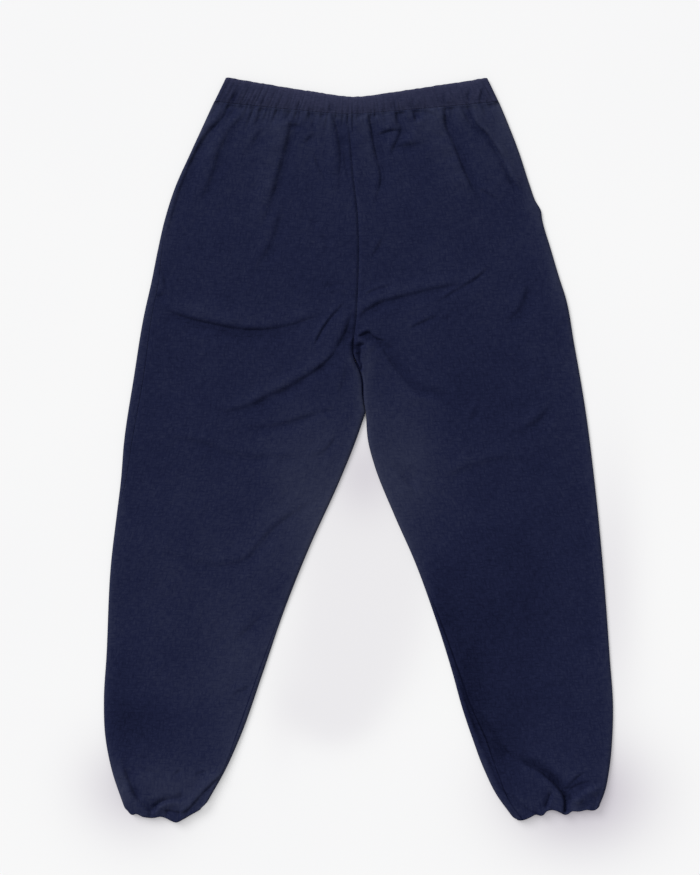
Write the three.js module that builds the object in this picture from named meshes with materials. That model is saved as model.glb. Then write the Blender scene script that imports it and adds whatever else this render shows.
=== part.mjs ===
// Monpe: gathered cotton work trousers, laid flat on z = 0 with the front side up.
// Millimetres. +y points to the waist, +z up. Left and right are the wearer's,
// so the left leg lies on the +x side.
import * as THREE from 'three';

// ---- Cloth and elastic -------------------------------------------------------------------
const CLOTH = 1.2;          // wall of the leg panels
const CASING_CLOTH = 1.0;   // wall of the doubled casings
const ELASTIC = 1.0;        // thickness of the elastic bands
const SEAM_GAP = 0.3;       // clear space between two pieces that are sewn together
const THIGH_GAP = 0.9;      // and between the two thighs where they touch
const SIDE_ROUND = 5;       // how far the cloth takes to turn over a side edge
const SEAM_DIP = 0.8;       // the centre front seam pulls the cloth down by this much

// ---- Outline -----------------------------------------------------------------------------
// turn: how far the seam has rolled round onto the front.
const OUTSEAM = {
  right: [
    { y: 431, x: -179, turn: 2 },
    { y: 405, x: -191, turn: 2 },
    { y: 366, x: -209, turn: 2 },
    { y: 326, x: -227, turn: 3 },
    { y: 286, x: -240, turn: 5 },
    { y: 247, x: -249, turn: 8 },
    { y: 207, x: -257, turn: 12 },
    { y: 167, x: -266, turn: 13 },
    { y: 88, x: -279, turn: 15 },
    { y: 9, x: -291, turn: 13 },
    { y: -40, x: -295, turn: 9 },
    { y: -81, x: -300, turn: 4 },
    { y: -140, x: -307, turn: 2 },
    { y: -259, x: -313, turn: 2 },
    { y: -310, x: -316, turn: 2 },
    { y: -358, x: -314, turn: 4 },
    { y: -398, x: -306, turn: 4 },
    { y: -442, x: -291, turn: 2 },
  ],
  left: [
    { y: 431, x: 174, turn: 2 },
    { y: 405, x: 185, turn: 2 },
    { y: 366, x: 200, turn: 2 },
    { y: 326, x: 213, turn: 2 },
    { y: 307, x: 220, turn: 2 },
    { y: 297, x: 226, turn: 2 },
    { y: 285, x: 228, turn: 2 },
    { y: 247, x: 239, turn: 2 },
    { y: 207, x: 251, turn: 2 },
    { y: 192, x: 256, turn: 2 },
    { y: 129, x: 268, turn: 2 },
    { y: 47, x: 282, turn: 2 },
    { y: -31, x: 292, turn: 2 },
    { y: -140, x: 303, turn: 2 },
    { y: -259, x: 312, turn: 2 },
    { y: -320, x: 316, turn: 2 },
    { y: -358, x: 315, turn: 2 },
    { y: -398, x: 311, turn: 2 },
    { y: -426, x: 305, turn: 2 },
    { y: -441, x: 299, turn: 2 },
  ],
};

// The centre seam from the waist to the crotch, then the line along which the thighs touch.
const CENTRE_LINE = [
  { y: 415, x: -14 },
  { y: 383, x: -10 },
  { y: 346, x: -7 },
  { y: 291, x: -1 },
  { y: 193, x: -1 },
  { y: 154, x: -3 },
  { y: 127, x: -6 },
  { y: 106, x: -1 },
  { y: 88, x: 4 },
  { y: 66, x: 6 },
  { y: 46, x: 9 },
];

const INSEAM = {
  right: [
    { y: 46, x: 9, turn: 2 },
    { y: 19, x: 0, turn: 2 },
    { y: -41, x: -24, turn: 3 },
    { y: -120, x: -60, turn: 3 },
    { y: -200, x: -92, turn: 5 },
    { y: -279, x: -119, turn: 8 },
    { y: -358, x: -147, turn: 8 },
    { y: -398, x: -165, turn: 5 },
    { y: -437, x: -187, turn: 3 },
  ],
  left: [
    { y: 46, x: 9, turn: 2 },
    { y: 9, x: 12, turn: 2 },
    { y: -21, x: 20, turn: 2 },
    { y: -81, x: 44, turn: 2 },
    { y: -140, x: 70, turn: 2 },
    { y: -200, x: 92, turn: 7 },
    { y: -279, x: 117, turn: 11 },
    { y: -319, x: 128, turn: 14 },
    { y: -358, x: 141, turn: 19 },
    { y: -398, x: 156, turn: 18 },
    { y: -430, x: 172, turn: 17 },
    { y: -452, x: 188, turn: 18 },
  ],
};

// Both ends of the waist line and of the ankle line, how far each line bows between its ends, and
// how far the inner end of an ankle line is raised.
const WAIST = { outerY: 431, innerY: 415, bow: 1 };
const ANKLE = { outerY: -442, innerY: -444 };
const ANKLE_SHAPE = {
  right: { bow: 19, innerRise: 7 },
  left: { bow: 6, innerRise: -8 },
};
const BOW_REACH = 0.06;     // share of the leg over which both fade out
const BOW_SHAPE = 0.45;     // below 1 the bow has full sides and a flat middle

const CROTCH_Y = 127;
const CROTCH_TURN = 22;     // below the crotch the flat seam becomes a rounded edge over this

// ---- Heights -----------------------------------------------------------------------------
// top: middle of the front cloth; side: level of the two side edges.
const LOFT = [
  { y: 431, top: 7.4, side: 3.9 },
  { y: 400, top: 6.4, side: 3.2 },
  { y: 350, top: 5.6, side: 2.9 },
  { y: 250, top: 5.4, side: 2.8 },
  { y: 120, top: 5.2, side: 2.6 },
  { y: -100, top: 4.6, side: 2.5 },
  { y: -330, top: 4.9, side: 2.7 },
  { y: -385, top: 7.8, side: 3.9 },
  { y: -420, top: 10.6, side: 5.2 },
  { y: -460, top: 10.6, side: 5.2 },
];
const BACK_MIDDLE = CLOTH / 2;

// The front cloth stays above what lies beneath it.
const OVER_BACK = 2.4;
const OVER_POCKET = { aboveY: 90, besideX: 70, lowest: 4.6, reach: 30 };
const OVER_ANKLE = { belowY: -405, lowest: 10.2, reach: 40 };

// The largest folds. A fold runs from, via and to. Its trough is depth deep and width wide, and its
// crest rises beside it, on the left of the run, or on the right where it is negative.
const FOLDS = [
  // gathers falling from the waist, from the right hip to the left one
  { from: [-157, 431], via: [-207, 355], to: [-238, 262], width: 9, depth: 2.0, crest: 3.6 },
  { from: [-82, 412], via: [-97, 345], to: [-131, 222], width: 10, depth: 2.0, crest: 4.0 },
  { from: [-27, 410], via: [-22, 370], to: [-14, 325], width: 8, depth: 2.4, crest: 3.2 },
  { from: [15, 414], via: [25, 355], to: [24, 312], width: 8, depth: 2.6, crest: -3.2 },
  { from: [24, 392], via: [52, 384], to: [82, 380], width: 9, depth: 2.4, crest: 3.2 },
  { from: [107, 427], via: [121, 372], to: [153, 296], width: 9, depth: 2.0, crest: -3.8 },
  { from: [137, 430], via: [161, 387], to: [200, 319], width: 9, depth: 2.0, crest: -3.6 },
  // folds that hang across the right hip and thigh
  { from: [-246, 178], via: [-140, 147], to: [-30, 168], width: 11, depth: 2.4, crest: 4.6 },
  { from: [-11, 161], via: [-72, 84], to: [-199, 56], width: 12, depth: 2.6, crest: -4.6 },
  { from: [-24, 49], via: [-88, 31], to: [-152, 29], width: 12, depth: 1.6, crest: -2.8 },
  // folds from the crotch across the left hip and thigh
  { from: [2, 163], via: [69, 193], to: [168, 236], width: 11, depth: 2.4, crest: 4.4 },
  { from: [3, 140], via: [22, 137], to: [40, 133], width: 8, depth: 2.4, crest: -3.6 },
  { from: [16, 126], via: [50, 94], to: [89, 68], width: 14, depth: 2.2, crest: 2.6 },
  { from: [243, 61], via: [220, 33], to: [185, 17], width: 12, depth: 1.8, crest: -2.6 },
  // folds over the right ankle, then the left
  { from: [-292, -380], via: [-278, -413], to: [-255, -450], width: 7, depth: 3.4, crest: 2.4 },
  { from: [-172, -405], via: [-197, -435], to: [-222, -452], width: 7, depth: 3.4, crest: 2.6 },
  { from: [200, -386], via: [238, -407], to: [256, -450], width: 8, depth: 3.6, crest: -2.6 },
  { from: [281, -400], via: [266, -411], to: [255, -424], width: 7, depth: 3.0, crest: 2.0 },
];
const FOLD_STEPS = 10;      // points along a fold at which its distance is measured
const CREST_OFFSET = 1.7;   // the crest lies this many widths beside the trough
const CREST_WIDTH = 1.3;

// ---- Waist casing ------------------------------------------------------------------------
const WAISTBAND = {
  left: 174,
  right: -179,
  lowestX: 4,               // where the band's top edge is lowest
  heightAtCentre: 21,
  heightAtSides: 30,
  taper: 0.078,             // the top edge is shorter than the stitch line by this share
  frontMiddle: 7.4,         // height of the front run's outer layer
  backMiddle: CASING_CLOTH / 2,
  gathers: 26,
  gatherHeight: 1.3,
  unevenness: 0.010,        // share of the run by which the gathers wander from even spacing
  clearance: 0.7,           // from the stitch line to the casing's lower edge
};
const ANKLE_BAND = {
  height: 15,
  inset: 8,                 // clear of the leg's rounded side edges
  peek: 1.5,                // the rim shows this far below the leg cloth
  backMiddle: CLOTH + SEAM_GAP + CASING_CLOTH / 2,
  frontMiddle: CLOTH + SEAM_GAP + CASING_CLOTH / 2 + 6.6,
};
const FOLD_RADIUS = (CASING_CLOTH + ELASTIC) / 2 + SEAM_GAP;  // a casing layer to its elastic
const ELASTIC_EDGE = 3;     // the elastic stays this far from the casing's two edges

// ---- Pockets -----------------------------------------------------------------------------
const POCKET = { topY: 308, bottomY: 100, width: 132, clearOfSide: 9, corner: 45, z: 1.6, thick: 2.0 };

// ---- Colours -----------------------------------------------------------------------------
const NAVY_COTTON = { color: 0x1f233b, roughness: 0.92, metalness: 0 };
const WASHED_NAVY = { color: 0x2a2e44, roughness: 0.94, metalness: 0 };
const POCKET_COTTON = { color: 0x1c2036, roughness: 0.94, metalness: 0 };
const WHITE_ELASTIC = { color: 0xdcdad2, roughness: 0.8, metalness: 0 };

// ---- Small helpers -----------------------------------------------------------------------
const { clamp, lerp, smoothstep } = THREE.MathUtils;

// A smooth curve through the rows of a table, as a function of y. Rows run from high y to low y.
function column(table, name) {
  const slope = (i) => {
    const above = table[Math.max(i - 1, 0)];
    const below = table[Math.min(i + 1, table.length - 1)];
    return (below[name] - above[name]) / (below.y - above.y);
  };
  return (y) => {
    if (y >= table[0].y) return table[0][name] + (y - table[0].y) * slope(0);
    const next = table.findIndex((row) => row.y <= y);
    if (next < 0) return table[table.length - 1][name];
    const i = Math.max(next - 1, 0);
    const a = table[i];
    const b = table[i + 1];
    const span = b.y - a.y;
    const t = (y - a.y) / span;
    const h = t * t * (3 - 2 * t);
    const pull = span * (slope(i) * t * (1 - t) ** 2 - slope(i + 1) * t * t * (1 - t));
    return lerp(a[name], b[name], h) + pull;
  };
}

const loftTop = column(LOFT, 'top');
const loftSide = column(LOFT, 'side');
const centreLine = column(CENTRE_LINE, 'x');

// 0 where the leg ends at the flat centre seam, 1 where it has a rounded inner edge.
function innerRounding(y) {
  return smoothstep(CROTCH_Y - y, 0, CROTCH_TURN);
}

function makeLeg(side) {
  const inseamX = column(INSEAM[side], 'x');
  const forkY = INSEAM[side][0].y;
  return {
    outerX: column(OUTSEAM[side], 'x'),
    outerTurn: column(OUTSEAM[side], 'turn'),
    innerX: (y) => (y > forkY ? centreLine(y) : inseamX(y)),
    innerTurn: column(INSEAM[side], 'turn'),
    ankle: ANKLE_SHAPE[side],
    inward: side === 'right' ? 1 : -1,
  };
}
const LEGS = { right: makeLeg('right'), left: makeLeg('left') };

// ---- The plan of a leg -------------------------------------------------------------------
// along: 0 at the waist seam, 1 at the ankle. Gives the two ends of the line across the leg.
function acrossLine(leg, along) {
  const atWaist = smoothstep(BOW_REACH - along, 0, BOW_REACH);
  const atAnkle = smoothstep(along, 1 - BOW_REACH, 1);
  const outerY = lerp(WAIST.outerY, ANKLE.outerY, along);
  const innerY = lerp(WAIST.innerY, ANKLE.innerY, along) + leg.ankle.innerRise * atAnkle;
  const rounding = innerRounding(innerY);
  const clearance = lerp(SEAM_GAP, THIGH_GAP + CLOTH, rounding) / 2;
  const outer = new THREE.Vector2(leg.outerX(outerY) + leg.inward * CLOTH / 2, outerY);
  const inner = new THREE.Vector2(leg.innerX(innerY) - leg.inward * clearance, innerY);
  return {
    outer,
    inner,
    bow: WAIST.bow * atWaist + leg.ankle.bow * atAnkle,
    width: outer.distanceTo(inner),
    rounding,
    outerTurn: leg.outerTurn(outerY),
    innerTurn: Math.max(leg.innerTurn(innerY), 2),
  };
}

// The point of the plan at a distance from the outer edge.
function planPoint(line, distance) {
  const share = distance / line.width;
  const point = line.outer.clone().lerp(line.inner, share);
  const arch = Math.max(4 * share * (1 - share), 0);
  point.y -= line.bow * arch ** BOW_SHAPE;
  return point;
}

// ---- The height of the front cloth -------------------------------------------------------
const FOLD_CURVES = FOLDS.map((fold) => {
  const [from, via, to] = [fold.from, fold.via, fold.to].map(([x, y]) => new THREE.Vector2(x, y));
  const control = via.clone().multiplyScalar(2).sub(from.clone().add(to).multiplyScalar(0.5));
  const points = new THREE.QuadraticBezierCurve(from, control, to).getPoints(FOLD_STEPS);
  return { ...fold, points };
});

// Signed distance to the nearest stretch of a fold, and how far along the fold that lies.
function nearestOnFold(points, x, y) {
  let best = { distance: Infinity, along: 0 };
  for (let i = 0; i < points.length - 1; i += 1) {
    const ax = points[i].x;
    const ay = points[i].y;
    const dx = points[i + 1].x - ax;
    const dy = points[i + 1].y - ay;
    const t = clamp(((x - ax) * dx + (y - ay) * dy) / (dx * dx + dy * dy), 0, 1);
    const offX = x - ax - t * dx;
    const offY = y - ay - t * dy;
    const distance = Math.hypot(offX, offY);
    if (distance < Math.abs(best.distance)) {
      const sign = dx * offY - dy * offX >= 0 ? 1 : -1;
      best = { distance: sign * distance, along: (i + t) / (points.length - 1) };
    }
  }
  return best;
}

function bump(distance, width) {
  return Math.exp(-((distance / width) ** 2));
}

function foldHeight(x, y) {
  let height = 0;
  for (const fold of FOLD_CURVES) {
    const { distance, along } = nearestOnFold(fold.points, x, y);
    const fade = Math.sqrt(Math.max(Math.sin(Math.PI * clamp(along, 0.04, 0.96)), 0));
    const crestSide = Math.sign(fold.crest);
    const besideCrest = distance - crestSide * CREST_OFFSET * fold.width;
    height -= fade * fold.depth * bump(distance, fold.width);
    height += fade * Math.abs(fold.crest) * bump(besideCrest, CREST_WIDTH * fold.width);
  }
  return height;
}

function lowestFront(x, y) {
  const abovePocketEnd = smoothstep(y, OVER_POCKET.aboveY - OVER_POCKET.reach, OVER_POCKET.aboveY);
  const beside = smoothstep(Math.abs(x), OVER_POCKET.besideX - OVER_POCKET.reach, OVER_POCKET.besideX);
  const overAnkle = smoothstep(OVER_ANKLE.belowY + OVER_ANKLE.reach - y, 0, OVER_ANKLE.reach);
  const overPocket = lerp(OVER_BACK, OVER_POCKET.lowest, abovePocketEnd * beside);
  return lerp(overPocket, OVER_ANKLE.lowest, overAnkle);
}

function frontHeight(x, y) {
  return Math.max(loftTop(y) + foldHeight(x, y), lowestFront(x, y));
}

// ---- The leg as a flattened tube ---------------------------------------------------------
const QUARTER = SIDE_ROUND * Math.PI / 2;   // the way round a side edge, from its middle to the top

// The whole way across the upper half. When the inner edge is not rounded, the half ends flat at
// the centre seam.
function upperWay(line, rounded) {
  const oneEdge = line.width - SIDE_ROUND + QUARTER;
  return rounded ? oneEdge - SIDE_ROUND + QUARTER : oneEdge;
}

// A point of the upper half, at a way from the middle of the outer edge.
function upperPoint(line, way, rounded) {
  const left = upperWay(line, rounded) - way;
  let distance = SIDE_ROUND + way - QUARTER;
  let lift = 1;
  if (way < QUARTER) {
    distance = SIDE_ROUND * (1 - Math.cos(way / SIDE_ROUND));
    lift = Math.sin(way / SIDE_ROUND);
  } else if (rounded && left < QUARTER) {
    distance = line.width - SIDE_ROUND * (1 - Math.cos(left / SIDE_ROUND));
    lift = Math.sin(left / SIDE_ROUND);
  }
  const plan = planPoint(line, distance);
  const side = loftSide(plan.y);
  const dip = rounded ? 0 : SEAM_DIP * bump(left, SIDE_ROUND);
  return new THREE.Vector3(plan.x, plan.y, side + (frontHeight(plan.x, plan.y) - dip - side) * lift);
}

// A point of the lower half: quarter gives the way up a side edge, 0 on the floor, 1 at its middle.
function lowerPoint(line, distance, quarter) {
  const plan = planPoint(line, distance);
  const lift = 1 - Math.cos(quarter * Math.PI / 2);
  return new THREE.Vector3(plan.x, plan.y, lerp(BACK_MIDDLE, loftSide(plan.y), lift));
}

function mixAtCrotch(line, flat, rounded) {
  if (line.rounding <= 0) return flat();
  if (line.rounding >= 1) return rounded();
  return flat().lerp(rounded(), line.rounding);
}

function frontSurface(leg) {
  return (across, along) => {
    const line = acrossLine(leg, along);
    const start = line.outerTurn + SEAM_GAP / 2;
    const wayTo = (end) => lerp(start, end, across);
    return mixAtCrotch(
      line,
      () => upperPoint(line, wayTo(upperWay(line, false)), false),
      () => upperPoint(line, wayTo(upperWay(line, true) - line.innerTurn - SEAM_GAP / 2), true),
    );
  };
}

// The back takes in both side edges, and the strips that have rolled onto the front.
const BACK_ZONES = { innerStrip: 0.2, innerEdge: 0.4, outerEdge: 0.6, outerStrip: 0.8 };

function backInnerRounded(line, across) {
  if (across < BACK_ZONES.innerStrip) {
    const left = lerp(line.innerTurn - SEAM_GAP / 2, 0, across / BACK_ZONES.innerStrip);
    return upperPoint(line, upperWay(line, true) - left, true);
  }
  const share = (across - BACK_ZONES.innerStrip) / (BACK_ZONES.innerEdge - BACK_ZONES.innerStrip);
  const angle = share * Math.PI / 2;
  return lowerPoint(line, line.width - SIDE_ROUND * (1 - Math.cos(angle)), 1 - share);
}

function backInnerFlat(line, across) {
  return lowerPoint(line, line.width - SIDE_ROUND * across / BACK_ZONES.innerEdge, 0);
}

function backSurface(leg) {
  return (across, along) => {
    const line = acrossLine(leg, along);
    if (across <= BACK_ZONES.innerEdge) {
      return mixAtCrotch(line, () => backInnerFlat(line, across), () => backInnerRounded(line, across));
    }
    if (across <= BACK_ZONES.outerEdge) {
      const share = (across - BACK_ZONES.innerEdge) / (BACK_ZONES.outerEdge - BACK_ZONES.innerEdge);
      return lowerPoint(line, lerp(line.width - SIDE_ROUND, SIDE_ROUND, share), 0);
    }
    if (across <= BACK_ZONES.outerStrip) {
      const share = (across - BACK_ZONES.outerEdge) / (BACK_ZONES.outerStrip - BACK_ZONES.outerEdge);
      return lowerPoint(line, SIDE_ROUND * (1 - Math.sin(share * Math.PI / 2)), share);
    }
    const share = (across - BACK_ZONES.outerStrip) / (1 - BACK_ZONES.outerStrip);
    return upperPoint(line, share * (line.outerTurn - SEAM_GAP / 2), false);
  };
}

// ---- Casings: a doubled band round a flattened opening -----------------------------------
// round: 0 to 1 along the front, to 2 round the left end, to 3 along the back, to 4 round the
// right end. inward is how far a layer lies inside the outer one.
function bandLoop(band, round, inward) {
  const run = Math.floor(round) % 4;
  const share = round - Math.floor(round);
  const radius = (band.frontMiddle - band.backMiddle) / 2;
  const centreZ = (band.frontMiddle + band.backMiddle) / 2;
  const onLeft = run === 0 ? share : 1 - share;
  if (run === 0) return { across: onLeft, beyond: 0, z: band.frontMiddle - inward };
  if (run === 2) return { across: onLeft, beyond: 0, z: band.backMiddle + inward };
  const angle = Math.PI / 2 - share * Math.PI;
  const reach = (radius - inward) * Math.cos(angle);
  const turnZ = centreZ + (run === 1 ? 1 : -1) * (radius - inward) * Math.sin(angle);
  return { across: run === 1 ? 1 : 0, beyond: run === 1 ? reach : -reach, z: turnZ };
}

// down: 0 at the sewn edge, 1 at the folded edge. The plan says where both lie.
function bandSurface(band, plan, height) {
  return (round, profile) => {
    const onOuter = clamp(profile / 0.4, 0, 1);
    const onInner = clamp((profile - 0.6) / 0.4, 0, 1);
    const turn = clamp((profile - 0.4) / 0.2, 0, 1) * Math.PI;
    const inward = FOLD_RADIUS * (1 - Math.cos(turn));
    const loop = bandLoop(band, round, inward);
    const toFold = onInner > 0 ? 1 - onInner : onOuter;
    const point = plan(loop.across, loop.beyond, toFold, FOLD_RADIUS * Math.sin(turn));
    return new THREE.Vector3(point.x, point.y, loop.z + height(round, profile));
  };
}

// The stitch line under the waist casing is the top line of the two front panels.
function waistStitch(x) {
  const middle = CENTRE_LINE[0].x;
  const leg = x < middle ? LEGS.right : LEGS.left;
  const line = acrossLine(leg, 0);
  const share = clamp((x - line.outer.x) / (line.inner.x - line.outer.x), 0, 1);
  return planPoint(line, share * line.width).y;
}

function wander(share, amount) {
  const sway = Math.sin(17 * share) * 0.6 + Math.sin(41 * share + 1) * 0.4;
  return share + amount * sway * Math.sin(Math.PI * share);
}

function waistPlan(across, beyond, toFold, pastFold) {
  const radius = (WAISTBAND.frontMiddle - WAISTBAND.backMiddle + CASING_CLOTH) / 2;
  const right = WAISTBAND.right + radius;
  const left = WAISTBAND.left - radius;
  const even = lerp(right, left, wander(across, WAISTBAND.unevenness));
  const x = even + beyond;
  const sideways = Math.abs(x - WAISTBAND.lowestX) / WAISTBAND.left;
  const height = lerp(WAISTBAND.heightAtCentre, WAISTBAND.heightAtSides, Math.min(sideways, 1));
  const layerHeight = height - FOLD_RADIUS - CASING_CLOTH / 2;
  const y = waistStitch(even) + WAISTBAND.clearance + toFold * layerHeight + pastFold;
  return new THREE.Vector2(x * (1 - WAISTBAND.taper * toFold), y);
}

function waistGathers(round, profile) {
  if (round > 1 || profile > 0.4) return 0;
  return WAISTBAND.gatherHeight * (1 - Math.cos(2 * Math.PI * WAISTBAND.gathers * round)) / 2;
}

function anklePlan(leg) {
  return (across, beyond, toFold, pastFold) => {
    const line = acrossLine(leg, 1);
    const radius = (ANKLE_BAND.frontMiddle - ANKLE_BAND.backMiddle + CASING_CLOTH) / 2;
    const inset = ANKLE_BAND.inset + radius;
    const onOuterSide = leg.inward > 0 ? across : 1 - across;
    const distance = lerp(inset, line.width - inset, onOuterSide) + leg.inward * beyond;
    const rim = planPoint(line, distance);
    const up = (1 - toFold) * ANKLE_BAND.height;
    const y = rim.y - ANKLE_BAND.peek + CASING_CLOTH / 2 + FOLD_RADIUS + up - pastFold;
    return new THREE.Vector2(rim.x, y);
  };
}

// An elastic is a single band between the two layers of its casing.
function elasticSurface(band, plan, bandHeight) {
  const edge = ELASTIC_EDGE / bandHeight;
  return (round, profile) => {
    const loop = bandLoop(band, round, FOLD_RADIUS);
    const point = plan(loop.across, loop.beyond, lerp(edge, 1 - edge, profile), 0);
    return new THREE.Vector3(point.x, point.y, loop.z);
  };
}

// ---- Walls -------------------------------------------------------------------------------
function wallNormal(surface, u, v, around) {
  const step = 1e-4;
  const moveU = (value) => (around ? (value + around) % around : clamp(value, 0, 1));
  const moveV = (value) => clamp(value, 0, 1);
  const alongU = surface(moveU(u + step), v).sub(surface(moveU(u - step), v));
  const alongV = surface(u, moveV(v + step)).sub(surface(u, moveV(v - step)));
  return alongU.cross(alongV).normalize();
}

// A closed wall on both sides of a surface, through a grid of stations. around is the length of
// the first direction when it closes on itself.
function wall(surface, stationsU, stationsV, thickness, around = 0) {
  const positions = [];
  const index = [];
  const nu = stationsU.length;
  const nv = stationsV.length;
  for (const face of [0.5, -0.5]) {
    for (const v of stationsV) {
      for (const u of stationsU) {
        const normal = wallNormal(surface, u, v, around);
        const point = surface(u, v).addScaledVector(normal, face * thickness);
        positions.push(point.x, point.y, Math.max(point.z, 0));
      }
    }
  }
  const at = (layer, j, i) => layer * nu * nv + j * nu + (i % nu);
  const quad = (a, b, c, d) => index.push(a, b, c, a, c, d);
  const lastU = around ? nu : nu - 1;
  for (let j = 0; j < nv - 1; j += 1) {
    for (let i = 0; i < lastU; i += 1) {
      quad(at(0, j, i), at(0, j, i + 1), at(0, j + 1, i + 1), at(0, j + 1, i));
      quad(at(1, j, i), at(1, j + 1, i), at(1, j + 1, i + 1), at(1, j, i + 1));
    }
  }
  for (let i = 0; i < lastU; i += 1) {
    quad(at(0, 0, i), at(1, 0, i), at(1, 0, i + 1), at(0, 0, i + 1));
    quad(at(0, nv - 1, i), at(0, nv - 1, i + 1), at(1, nv - 1, i + 1), at(1, nv - 1, i));
  }
  if (!around) {
    for (let j = 0; j < nv - 1; j += 1) {
      quad(at(0, j, 0), at(0, j + 1, 0), at(1, j + 1, 0), at(1, j, 0));
      quad(at(0, j, nu - 1), at(1, j, nu - 1), at(1, j + 1, nu - 1), at(0, j + 1, nu - 1));
    }
  }
  const geometry = new THREE.BufferGeometry();
  geometry.setAttribute('position', new THREE.Float32BufferAttribute(positions, 3));
  geometry.setIndex(index);
  geometry.computeVertexNormals();
  return geometry;
}

function evenly(count, from = 0, to = 1) {
  return Array.from({ length: count + 1 }, (_, i) => lerp(from, to, i / count));
}

// Stations round a band, with more of them where its gathers show.
function roundStations(front, end, back) {
  return [
    ...evenly(front, 0, 1).slice(0, -1),
    ...evenly(end, 1, 2).slice(0, -1),
    ...evenly(back, 2, 3).slice(0, -1),
    ...evenly(end, 3, 4).slice(0, -1),
  ];
}

const ALONG = [...evenly(19, 0, 0.5), ...evenly(8, 0.56, 0.92), 0.945, 0.965, 0.985, 1];
const FRONT_ACROSS = [0, 0.02, ...evenly(11, 0.06, 0.94), 0.98, 1];
const BACK_ACROSS = evenly(10);
const CASING_PROFILE = [0, 0.4, 0.5, 0.6, 1];

// ---- Pocket bags -------------------------------------------------------------------------
function pocketBag(leg) {
  const towardSide = -leg.inward;
  const sideAt = (y) => leg.outerX(y) - towardSide * POCKET.clearOfSide;
  const innerX = sideAt(POCKET.topY) - towardSide * POCKET.width;
  const shape = new THREE.Shape();
  shape.moveTo(sideAt(POCKET.topY), POCKET.topY);
  shape.lineTo(innerX, POCKET.topY);
  shape.lineTo(innerX, POCKET.bottomY + POCKET.corner);
  shape.quadraticCurveTo(innerX, POCKET.bottomY, innerX + towardSide * POCKET.corner, POCKET.bottomY);
  shape.lineTo(sideAt(POCKET.bottomY) - towardSide * POCKET.corner, POCKET.bottomY);
  shape.quadraticCurveTo(
    sideAt(POCKET.bottomY),
    POCKET.bottomY,
    sideAt(POCKET.bottomY + POCKET.corner),
    POCKET.bottomY + POCKET.corner,
  );
  const bag = new THREE.ExtrudeGeometry(shape, {
    depth: POCKET.thick,
    bevelEnabled: false,
    curveSegments: 5,
  });
  bag.translate(0, 0, POCKET.z);
  return bag;
}

// ---- The garment -------------------------------------------------------------------------
function piece(name, geometry, finish) {
  const mesh = new THREE.Mesh(geometry, new THREE.MeshStandardMaterial(finish));
  mesh.name = name;
  return mesh;
}

const monpe = new THREE.Group();
monpe.name = 'monpe';

for (const side of ['right', 'left']) {
  const leg = LEGS[side];
  const front = wall(frontSurface(leg), FRONT_ACROSS, ALONG, CLOTH);
  const back = wall(backSurface(leg), BACK_ACROSS, ALONG, CLOTH);
  const plan = anklePlan(leg);
  const casing = wall(
    bandSurface(ANKLE_BAND, plan, () => 0),
    roundStations(10, 3, 6),
    CASING_PROFILE,
    CASING_CLOTH,
    4,
  );
  const elastic = wall(
    elasticSurface(ANKLE_BAND, plan, ANKLE_BAND.height),
    roundStations(6, 3, 6),
    [0, 1],
    ELASTIC,
    4,
  );
  monpe.add(piece(`${side}_front_leg`, front, NAVY_COTTON));
  monpe.add(piece(`${side}_back_leg`, back, NAVY_COTTON));
  monpe.add(piece(`${side}_ankle_casing`, casing, WASHED_NAVY));
  monpe.add(piece(`${side}_ankle_elastic`, elastic, WHITE_ELASTIC));
  monpe.add(piece(`${side}_pocket_bag`, pocketBag(leg), POCKET_COTTON));
}

monpe.add(piece(
  'waist_casing',
  wall(
    bandSurface(WAISTBAND, waistPlan, waistGathers),
    roundStations(2 * WAISTBAND.gathers, 3, 8),
    CASING_PROFILE,
    CASING_CLOTH,
    4,
  ),
  WASHED_NAVY,
));
monpe.add(piece(
  'waist_elastic',
  wall(
    elasticSurface(WAISTBAND, waistPlan, WAISTBAND.heightAtCentre),
    roundStations(12, 3, 12),
    [0, 1],
    ELASTIC,
    4,
  ),
  WHITE_ELASTIC,
));

export default monpe;
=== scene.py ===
"""Monpe: gathered cotton work trousers, laid flat on the floor with the front side up.

The cloth is shaped in millimetres and turned into metres when a mesh is made. +y points to the
waist and +z up. Left and right are the wearer's, so the left leg lies on the +x side.
"""
import math
from collections import namedtuple

import bpy
import numpy as np
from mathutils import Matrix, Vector


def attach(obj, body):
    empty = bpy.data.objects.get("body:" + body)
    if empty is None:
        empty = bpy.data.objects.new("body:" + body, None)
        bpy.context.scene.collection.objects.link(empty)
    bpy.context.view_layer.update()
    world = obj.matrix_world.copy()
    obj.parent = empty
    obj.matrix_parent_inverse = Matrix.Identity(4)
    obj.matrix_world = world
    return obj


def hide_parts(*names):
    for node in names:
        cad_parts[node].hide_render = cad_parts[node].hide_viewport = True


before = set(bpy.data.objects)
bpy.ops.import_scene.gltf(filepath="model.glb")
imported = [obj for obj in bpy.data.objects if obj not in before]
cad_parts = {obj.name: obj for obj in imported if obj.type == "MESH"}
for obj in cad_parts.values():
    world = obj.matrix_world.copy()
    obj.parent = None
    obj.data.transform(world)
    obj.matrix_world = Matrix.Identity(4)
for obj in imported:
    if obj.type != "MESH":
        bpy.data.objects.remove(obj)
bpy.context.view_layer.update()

MM = 0.001

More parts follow.
